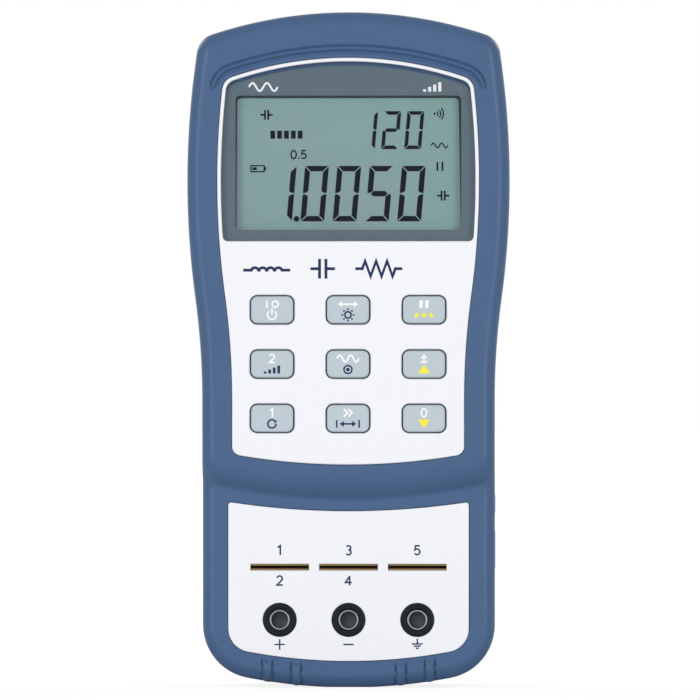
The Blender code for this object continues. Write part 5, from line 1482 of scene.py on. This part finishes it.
class METER_OT_display(bpy.types.Operator):
    """Display: clear window, grey mask with its deep edge, dark strip of painted shadow round the opening,
    crystal glass and lit segments
    """

    bl_idname = "meter.display"
    bl_label = "Display"

    def execute(self, context):
        form = CaseForm(context.scene.meter_shape)
        front, back = front_of("display_window"), back_of("display_window")
        window = punched_plate(lambda inset: form.window_outline(SEAM + inset), [], front, back, 2 * SEAM)
        add_piece("clear_window", window, "case", "clear_plastic", "display_window")
        self.mask(form)
        # Dark strip of painted shadow where the edge of the mask meets the glass
        self.painted_shadow_strip(form)
        self.glass()
        self.segments()
        return {"FINISHED"}

    def mask(self, form):
        """Grey border whose opening runs back to the glass, with two white signs.

        Its outer edge is drawn down at the top, which leaves a dark gap under the window there.
        """
        front, back = front_of("display_mask"), back_of("display_mask")
        glass = front_of("display_glass") + SEAM
        low, high = form.window_low, form.window_high
        step, gap = 0.00022, 0.0010
        bm = bmesh.new()
        stations = [(step, back), (step, glass), (0.0, glass)]
        stations += [(inset, front - drop) for inset, drop in round_over(step)]
        inner_back, inner_front = loft(bm, [at_depth(form.view_outline(grow), u) for grow, u in stations])
        outer = [(x, z - gap * smooth(2 * (z - (low + high) / 2) / (high - low)))
                 for x, z in form.window_outline(SEAM)]
        outer_back, outer_front = loft(bm, [at_depth(outer, back), at_depth(outer, front)])
        fill(bm, [outer_front, inner_front])
        fill(bm, [outer_back, inner_back])
        add_piece("grey_mask", bm, "case", "mask_print", "display_mask")
        sign_z = high - 0.0070
        shapes = [wave(-0.0235, sign_z, 0.0080, 0.0022, 0.00055, 2)]
        shapes += level_bars(0.0232, sign_z, 0.0056, 0.0026)
        print_signs("mask_signs", shapes, SPLIT - front, "white_ink", "case", "mask_print")

    def painted_shadow_strip(self, form):
        """Dark strip on the glass round the upper sides of the opening: a painted shadow of the mask's edge,
        widest at the top and at the right.
        """
        glass = front_of("display_glass") + SEAM
        corner = form.shape.view_corner
        outer = form.view_outline(-SEAM)
        low, high = min(z for _, z in outer), max(z for _, z in outer)
        left, right = min(x for x, _ in outer), max(x for x, _ in outer)
        # Widths of the painted shadow at the top, at the left and at the right, the step at its feet, and its
        # thickness
        top, near, far, end, thickness = 0.00045, 0.00025, 0.0006, 0.00005, 0.0006
        inner = rounded_rectangle((left + near + right - far) / 2, (low + high - top) / 2,
                                  right - left - near - far, high - low - top, corner)
        quarter, foot = len(outer) // 4, low + corner
        path = [(right, foot)] + outer[quarter:3 * quarter] + [(left, foot), (left + end, foot)]
        path += inner[quarter:3 * quarter][::-1] + [(right - end, foot)]
        strip = prism(path, glass + thickness, glass)
        # The strip is painted shadow in dark grey, laid on the glass
        add_piece("display_painted_shadow", strip, "case", "black_plastic", look="painted_shadow_strip")

    def glass(self):
        """Liquid crystal glass with a fine slope along its upright front edges."""
        front, back = front_of("display_glass"), back_of("display_glass")
        corner, narrowing = 0.0004, 0.998
        loop = rounded_rectangle(*face_box(*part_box("display_glass")), corner)
        drawn_in = [(x * narrowing, z) for x, z in loop]
        rings = [at_depth(loop, back), at_depth(loop, front - SEAM), at_depth(drawn_in, front)]
        add_piece("crystal_glass", capped(bmesh.new(), rings), "case", "display_glass", "display_glass")

    def segments(self):
        """Digits and small signs of a reading."""
        slant = math.tan(math.radians(5.0))
        shapes = []
        for digits, right, z, width, height, pitch, stroke in (
                ("10050", 0.0214, 0.1290, 0.0066, 0.01536, 0.00894, 0.00150),
                ("120", 0.0210, 0.1490, 0.0047, 0.0105, 0.0064, 0.00100)):
            start = right - slant * height - width - (len(digits) - 1) * pitch
            for place, digit in enumerate(digits):
                shapes += seven_segments(digit, start + place * pitch, z, (width, height), stroke, slant)
        thin, plain = 0.00036, 0.0005
        shapes += sound_sign(0.0252, 0.1588, 0.0030, thin)
        shapes += plates_sign(-0.0227, 0.1585, 0.0034, plain)
        shapes += [bar(-0.0172 + 0.0019 * i, 0.1530, 0.0013, 0.0022) for i in (-2, -1, 0, 1, 2)]
        shapes += battery_sign(-0.0252, 0.1436, 0.0040, thin)
        shapes.append(wave(0.0252, 0.1500, 0.0046, 0.0013, thin, 2))
        shapes += [bar(x, 0.1442, plain, 0.0025) for x in (0.0246, 0.0260)]
        shapes += plates_sign(0.0262, 0.1361, 0.0034, plain)
        for digit, x in (("0", -0.0152), ("5", -0.0124)):
            shapes += numeral(digit, x, 0.1475, 0.0024, 0.00040)
        shapes += [circle(-0.0144038, 0.1297, 0.0008, 20), circle(-0.0138, 0.1465, 0.00026, 16)]
        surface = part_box("display_glass")[0].y
        print_signs("crystal_segments", shapes, surface, "segment_ink", "case", "display_glass")


class METER_OT_keys(bpy.types.Operator):
    """Nine rubber keys with their flanges and plungers, and the signs printed on them"""

    bl_idname = "meter.keys"
    bl_label = "Keys"

    def execute(self, context):
        form = CaseForm(context.scene.meter_shape)
        for name, place in form.keys.items():
            body = name[4:] + "_key"
            add_piece(name + "_cap", self.cap(form, name), body, "key_rubber", name)
            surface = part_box(name)[0].y
            for ink, shapes in key_signs(name, place.x, place.z).items():
                if shapes:
                    print_signs(f"{name}_{ink}", shapes, surface, ink, body, "key_rubber")
        return {"FINISHED"}

    def cap(self, form, name):
        """Closed form of a key: its round stem, its flange behind the wall and its cap."""
        place = form.keys[name]
        front, tip = front_of(name), back_of(name)
        wall = front_of("display_glass")
        flange_back = wall - FLANGE_THICKNESS
        full = form.key_outline(name, 0.0)
        flange = form.key_outline(name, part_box(name)[1].x - place.x - form.shape.key_width / 2)
        stem = []
        for x, z in full:
            share = STEM_RADIUS / math.hypot(x - place.x, z - place.z)
            stem.append((place.x + share * (x - place.x), place.z + share * (z - place.z)))
        radius = form.shape.key_round
        stations = [(stem, tip), (stem, flange_back), (flange, flange_back), (flange, wall), (full, wall)]
        stations += [(form.key_outline(name, -inset), front - drop) for inset, drop in round_over(radius)]
        stations.append((form.key_outline(name, -radius - SUPPORT), front))
        return capped(bmesh.new(), [at_depth(points, u) for points, u in stations])


def key_signs(name, x, z):
    """Outlines on a key, by ink."""
    high, low = z + 0.00155, z - 0.00150
    stroke = 0.00045
    white, navy, yellow = [], [], []
    if name == "key_power":
        white += power_sign(x, low + 0.0001, 0.0031, stroke)
        white.append(bar(x - 0.0014, high, stroke, 0.0021))
        white += hoop(x + 0.0009, high, 0.00085, stroke)
    elif name == "key_light":
        white += two_way(x, high, 0.0056, stroke)
        navy += sun_sign(x, low + 0.0001, 0.0036, stroke)
    elif name == "key_hold":
        white += [bar(x + side * 0.0008, high, 0.0009, 0.0021) for side in SIDES]
        yellow += [circle(x + dx, low, 0.00062, 24) for dx in (-0.0020, 0.0, 0.0020)]
    elif name == "key_second":
        white += numeral("2", x, high, 0.0024, stroke)
        navy += level_bars(x, low, 0.0050, 0.0022)
    elif name == "key_wave":
        white.append(wave(x, high, 0.0060, 0.0019, stroke, 2))
        navy += hoop(x, low, 0.0011, stroke)
        navy.append(circle(x, low, 0.00052, 24))
    elif name == "key_up":
        white.append(plus_sign(x, high + 0.0003, 0.0018, stroke))
        white.append(bar(x, high - 0.0010, 0.0018, stroke))
        yellow.append(triangle(x, low + 0.0002, 0.0033, 0.0024))
    elif name == "key_first":
        white += numeral("1", x, high, 0.0024, stroke)
        navy += turn_sign(x, low, 0.0030, stroke)
    elif name == "key_rate":
        white += chevrons(x, high, 0.0021, stroke)
        navy += two_way(x, low, 0.0046, stroke)
        navy += [bar(x + side * 0.0031, low, stroke, 0.0021) for side in SIDES]
    else:
        white += numeral("0", x, high, 0.0024, stroke)
        yellow.append(triangle(x, low, 0.0033, -0.0024))
    return {"white_ink": white, "navy_ink": navy, "yellow_ink": yellow}


class METER_OT_terminals(bpy.types.Operator):
    """Jack insulators, jack sleeves and the gold blades of the test slots"""

    bl_idname = "meter.terminals"
    bl_label = "Terminals"

    def execute(self, context):
        places = [middle(f"jack_sleeve_{name}") for name in TERMINALS]
        front, back = front_of("jack_insulator_plus"), back_of("jack_insulator_plus")
        low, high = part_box("jack_sleeve_plus")
        sleeve = (high.x - low.x) / 2
        bore = sleeve - SLEEVE_WALL
        # Name, look, slot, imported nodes, outer radius, bore radius, middle, length and edge round
        rings = (("jack_insulators", "black_plastic", "black_plastic", "jack_insulator_", JACK_RADIUS,
                  sleeve + SEAM, SPLIT - (front + back) / 2, front - back, 0.0005),
                 ("jack_sleeves", "plated_metal", "plated_metal", "jack_sleeve_", sleeve,
                  bore, places[0].y, high.y - low.y, 0.00014),
                 ("jack_floors", "jack_floor", "black_plastic", None, bore + SEAM / 2,
                  SEAM / 2, low.y + JACK_FLOOR_DEPTH, JACK_FLOOR_THICKNESS, SEAM))
        for name, look, slot, stem, outer, inner, y, run, ease in rings:
            sizes = {"Outer Radius": outer, "Bore Radius": inner, "Length": run, "Edge Round": ease}
            mesh = grown(name, ring_tree, [(place.x, y, place.z) for place in places], sizes, look)
            nodes = [stem + end for end in TERMINALS] if stem else []
            finish_piece(name, mesh, "case", slot, *nodes, look=look)
        blades = {f"contact_{name}_{level}": sign for name in TERMINALS
                  for level, sign in (("upper", 1), ("lower", -1))}
        bm = bmesh.new()
        for node, sign in blades.items():
            self.blade(bm, node, sign)
        add_piece("contact_blades", bm, "case", "gold_contact", *blades)
        return {"FINISHED"}

    def blade(self, bm, node, sign):
        """One blade whose lip curls away from the slot."""
        low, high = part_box(node)
        inner, outer = (low.z, high.z) if sign > 0 else (high.z, low.z)
        thick, run, steps = 0.00032, 0.0006, 8
        flare = abs(outer - inner) - thick
        curl = [(low.y + share * run, flare * (1 - math.sin(share * math.pi / 2)))
                for share in steps_between(0.0, 1.0, steps)]
        curl.append((high.y, 0.0))
        loop = [(y, inner + sign * rise) for y, rise in curl]
        loop += [(y, inner + sign * (rise + thick)) for y, rise in reversed(curl)]
        capped(bm, [[Vector((x, y, z)) for y, z in loop] for x in (low.x, high.x)])


class METER_OT_port_covers(bpy.types.Operator):
    """Rubber covers of the two ports, each with a finger dent and a round hinge end"""

    bl_idname = "meter.port_covers"
    bl_label = "Port covers"

    def execute(self, context):
        dents = {"data": (1, 0.0029, 0.0062, 0.00055), "power": (-1, 0.0, 0.0086, 0.0002)}
        for name, dent in dents.items():
            bm = self.cover(f"{name}_port_cover", *dent)
            add_piece(f"{name}_cover_flap", bm, f"{name}_cover", "cover_rubber", f"{name}_port_cover")
        return {"FINISHED"}

    def cover(self, node, side, dent_rise, dent_length, dent_depth):
        """Closed form of a cover: its outline seen from the front, run through the depth."""
        low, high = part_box(node)
        hinge_x, centre, width, _ = face_box(low, high)
        radius = width / 2
        steps, chamfer, ease = 14, 0.0004, 0.00035

        def profile(inset):
            reach, top = radius - inset, high.z - inset
            points = [(-reach, top), (reach - chamfer, top), (reach, top - chamfer)]
            for share in steps_between(-1.0, 1.0, steps):
                points.append((reach - dent_depth * math.cos(share * math.pi / 2) ** 2,
                               centre + dent_rise - share * dent_length / 2))
            points += on_arc(0.0, low.z + radius, reach, steps_between(0.0, -math.pi, steps))
            return [(hinge_x + side * x, z) for x, z in points]

        front, back = front_of(node), back_of(node)
        rings = [at_depth(profile(inset), back + drop) for inset, drop in reversed(round_over(ease))]
        rings += [at_depth(profile(inset), front - drop) for inset, drop in round_over(ease)]
        return capped(bmesh.new(), rings)


class METER_OT_tilt_stand(bpy.types.Operator):
    """Tilt stand with its round hinge end, trunnions, sunk panel and grip ribs"""

    bl_idname = "meter.tilt_stand"
    bl_label = "Tilt stand"

    def execute(self, context):
        low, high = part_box("tilt_stand")
        hinge = stand_hinge()
        radius = high.z - hinge.z
        surface = hinge.y + radius
        width, height, corner, sink, lift, ease = 0.0340, 0.0560, 0.0030, 0.0005, 0.0060, 0.00015
        panel = rounded_rectangle(0.0, (low.z + hinge.z) / 2 + lift, width, height, corner)
        sunk = prism(panel, SPLIT - surface + sink, SPLIT - surface - 2 * sink)
        bm = bmesh.new()
        bm.from_mesh(shaped("tilt_stand", self.leg(low, hinge, radius), [sunk], ease))
        rooted = 0.0010
        for side in SIDES:
            rod(bm, hinge, (side * (STAND_HALF - rooted), side * high.x), TRUNNION_RADIUS)
        add_piece("stand_leg", bm, "stand", "blue_plastic", "tilt_stand")
        first, pitch, count = 0.0060, 0.0022, 6
        ribs = [(0.0, surface, low.z + first + pitch * i) for i in range(count)]
        sizes = {"Length": 0.0260, "Width": 0.0012, "Rise": 0.00022}
        mesh = grown("stand_ribs", rib_tree, ribs, sizes, "blue_plastic")
        finish_piece("stand_grip_ribs", mesh, "stand", "blue_plastic")
        return {"FINISHED"}

    def leg(self, low, hinge, radius):
        """Closed form of the leg, with eased sides and round lower corners."""
        ease, corner = 0.0006, 0.0040
        stations = [(STAND_HALF - drop, inset) for inset, drop in reversed(round_over(ease))]
        stations += [(STAND_HALF - corner * share, 0.0) for share in (0.25, 0.4, 0.6, 0.8, 1.0)]
        stations += [(0.0, 0.0)] + [(-x, inset) for x, inset in reversed(stations)]
        rings = []
        for x, inset in stations:
            past = max(abs(x) - STAND_HALF + corner, 0.0)
            foot = low.z + corner - math.sqrt(max(corner ** 2 - past ** 2, 0.0))
            rings.append([Vector((x, y, z)) for y, z in self.section(hinge, radius, foot, inset, ease)])
        return capped(bmesh.new(), rings)

    def section(self, hinge, radius, foot, inset, ease):
        """Closed section of the stand across its hinge, drawn in by an inset."""
        reach = radius - inset
        soft = max(ease - inset, SEAM)
        points = on_arc(hinge.y, hinge.z, reach, steps_between(0.0, math.pi, 16))
        for middle_y, start in ((hinge.y - reach + soft, 180), (hinge.y + reach - soft, 270)):
            points += arc(middle_y, foot + inset + soft, soft, start, start + 90, 4)
        return points


class METER_OT_battery_door(bpy.types.Operator):
    """Battery door under the stand, with eased edges and screw wells"""

    bl_idname = "meter.battery_door"
    bl_label = "Battery door"

    def execute(self, context):
        node = "battery_door"
        front, back = front_of(node), back_of(node)
        well, well_depth, past = 0.0022, 0.00135, back - 0.001
        wells = []
        for screw in DOOR_SCREWS:
            place = middle(screw)
            for radius, sides, floor in ((well, WELL_SIDES, back + well_depth), (DOOR_HOLE, HOLE_SIDES, 0.0)):
                wells.append(prism(circle(place.x, place.z, radius, sides), floor, past))
        panel = prism(rounded_rectangle(*face_box(*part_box(node)), DOOR_CORNER), front, back)
        mesh = shaped(node, panel, wells, CUT_EASE)
        finish_piece("door_panel", mesh, "case", "blue_plastic", node)
        return {"FINISHED"}


class METER_OT_screws(bpy.types.Operator):
    """Case screws and door screws with cross recesses"""

    bl_idname = "meter.screws"
    bl_label = "Screws"

    def execute(self, context):
        recess_share = 0.24
        for name, nodes, head, height, shank in (("case_screw", CASE_SCREWS, 0.0026, 0.0020, 0.0014),
                                                 ("door_screw", DOOR_SCREWS, 0.0019, 0.0012, 0.0010)):
            low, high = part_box(nodes[0])
            points = [(middle(node).x, high.y - height, middle(node).z) for node in nodes]
            sizes = {"Head Radius": head, "Head Height": height, "Shank Radius": shank,
                     "Shank Length": high.y - low.y - height / 2, "Recess Width": head * recess_share}
            mesh = grown(name, screw_tree, points, sizes, "screw_steel")
            finish_piece(name + "s", mesh, "case", "screw_steel", *nodes)
        return {"FINISHED"}


class METER_OT_inner_parts(bpy.types.Operator):
    """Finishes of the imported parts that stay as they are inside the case"""

    bl_idname = "meter.inner_parts"
    bl_label = "Inner parts"

    def execute(self, context):
        looks = finishes()
        for part in frame["record"]["subparts"]:
            node = frame["nodes"][part["node"]]
            if not node.hide_render:
                node.data.materials.clear()
                node.data.materials.append(looks[part["material_slot"]])
        return {"FINISHED"}


class METER_OT_stage(bpy.types.Operator):
    """Floor, soft lamps, white surroundings and the camera in front of the face"""

    bl_idname = "meter.stage"
    bl_label = "Stage"

    def execute(self, context):
        scene = context.scene
        stage = scene.meter_stage
        scene.view_settings.view_transform = "Standard"
        self.floor()
        self.sky(scene, stage.sky)
        aim = Vector((0.0, 0.0, stage.aim))
        front = self.lamp("front_lamp", 1, FRONT_LAMP, aim, stage.front_lamp)
        front.visible_glossy = False
        for side, name in zip(SIDES, ("left", "right")):
            self.lamp(name + "_lamp", side, SIDE_LAMP, aim, stage.side_lamps)
            self.lamp(name + "_rear_lamp", side, REAR_LAMP, aim, stage.rear_lamps)
        lens = bpy.data.cameras.new("front_camera")
        lens.sensor_width = 36.0
        lens.lens = lens.sensor_width * stage.distance / stage.field
        lens.clip_end = 20.0
        camera = linked("front_camera", lens)
        reach = stage.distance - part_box("upper_face_plate")[0].y
        camera.location = (reach * math.sin(stage.turn), -reach * math.cos(stage.turn), stage.aim)
        camera.rotation_euler = (math.pi / 2, 0.0, stage.turn)
        scene.camera = camera
        return {"FINISHED"}

    def floor(self):
        """Wide pale floor that keeps the shadow of the meter and gets white further off; gloss sees it darker
        close to the meter, a painted contact shadow in reflections.
        """
        mesh = bpy.data.meshes.new("floor")
        mesh.from_pydata([(x * FLOOR_REACH, y * FLOOR_REACH, -FLOOR_DROP) for x, y in CORNERS],
                         [], [range(len(CORNERS))])
        material = bpy.data.materials.new("pale_floor")
        material.use_nodes = True
        tree = material.node_tree
        tree.nodes.clear()
        place = tree.nodes.new("ShaderNodeTexCoord").outputs["Object"]
        far = add_node(tree, "ShaderNodeVectorMath", {0: place}, operation="LENGTH").outputs["Value"]
        path = tree.nodes.new("ShaderNodeLightPath").outputs

        def ramp(start, end, low, high):
            limits = {"Value": far, "From Min": start, "From Max": end, "To Min": low, "To Max": high}
            return add_node(tree, "ShaderNodeMapRange", limits).outputs["Result"]

        def matte(grey):
            return add_node(tree, "ShaderNodeBsdfDiffuse", {"Color": (grey, grey, grey, 1.0)}).outputs[0]

        seen_grey, lit_grey = 0.26, 0.68
        # Painted contact shadow: to gloss rays the floor glows dimmer within a few centimetres of the meter
        close = ramp(0.03, 0.08, 0.2, 1.0)
        gloss_painted_shade = math_node(tree, "MAXIMUM", close, path["Is Camera Ray"])
        strength = math_node(tree, "MULTIPLY", ramp(0.15, 0.90, 0.84, 1.0), gloss_painted_shade)
        glow = add_node(tree, "ShaderNodeEmission", {"Strength": strength}).outputs[0]
        seen = add_node(tree, "ShaderNodeAddShader", {0: glow, 1: matte(seen_grey)}).outputs[0]
        add_node(tree, "ShaderNodeOutputMaterial", {"Surface": by_ray(tree, matte(lit_grey), seen)})
        mesh.materials.append(material)
        linked("floor", mesh)

    def sky(self, scene, strength):
        """White surroundings that light the meter evenly."""
        world = bpy.data.worlds.new("soft_room")
        world.use_nodes = True
        scene.world = world
        tree = world.node_tree
        tree.nodes.clear()
        inputs = {"Color": (1.0, 1.0, 1.0, 1.0)}
        light, white = [add_node(tree, "ShaderNodeBackground", {**inputs, "Strength": value}).outputs[0]
                        for value in (strength, 1.0)]
        add_node(tree, "ShaderNodeOutputWorld", {"Surface": by_ray(tree, light, white)})

    def lamp(self, name, side, spot, aim, power):
        """Square soft lamp at a spot, or at its mirror image, turned towards a point."""
        (x, y, z), size = spot
        place = Vector((side * x, y, z))
        data = bpy.data.lights.new(name, "AREA")
        data.size = size
        data.energy = power
        thing = linked(name, data)
        thing.location = place
        thing.rotation_euler = (aim - place).to_track_quat("-Z", "Y").to_euler()
        return thing


def by_ray(tree, lit, seen):
    """One shader for rays that only light, and another for rays that the camera, gloss or glass sees."""
    path = tree.nodes.new("ShaderNodeLightPath").outputs
    rays = math_node(tree, "MAXIMUM", path["Is Camera Ray"], path["Is Glossy Ray"])
    rays = math_node(tree, "MAXIMUM", rays, path["Is Transmission Ray"])
    return add_node(tree, "ShaderNodeMixShader", {0: rays, 1: lit, 2: seen}).outputs[0]


STEPS = (METER_OT_front_case, METER_OT_rear_case, METER_OT_face_plates, METER_OT_display, METER_OT_keys,
         METER_OT_terminals, METER_OT_port_covers, METER_OT_tilt_stand, METER_OT_battery_door,
         METER_OT_screws, METER_OT_inner_parts, METER_OT_stage)


class METER_PT_panel(bpy.types.Panel):
    """Steps and settings of the meter"""

    bl_idname = "METER_PT_panel"
    bl_label = "LCR meter"
    bl_space_type = "VIEW_3D"
    bl_region_type = "UI"
    bl_category = "Meter"

    def draw(self, context):
        for step in STEPS:
            self.layout.operator(step.bl_idname)
        for settings in (context.scene.meter_shape, context.scene.meter_finish, context.scene.meter_stage):
            box = self.layout.box()
            for name in settings.bl_rna.properties.keys():
                if name not in ("rna_type", "name"):
                    box.prop(settings, name)


GROUPS = {"meter_shape": MeterShape, "meter_finish": MeterFinish, "meter_stage": MeterStage}
CLASSES = tuple(GROUPS.values()) + STEPS + (METER_PT_panel,)


def register():
    """Add the settings, steps and panel."""
    for cls in CLASSES:
        bpy.utils.register_class(cls)
    for name, group in GROUPS.items():
        setattr(bpy.types.Scene, name, PointerProperty(type=group))


def unregister():
    """Take the settings, steps and panel away."""
    for name in GROUPS:
        delattr(bpy.types.Scene, name)
    for cls in reversed(CLASSES):
        bpy.utils.unregister_class(cls)


def main():
    """Build the meter and its stage."""
    register()
    for step in STEPS:
        group, name = step.bl_idname.split(".")
        getattr(getattr(bpy.ops, group), name)()


if __name__ == "__main__":
    main()
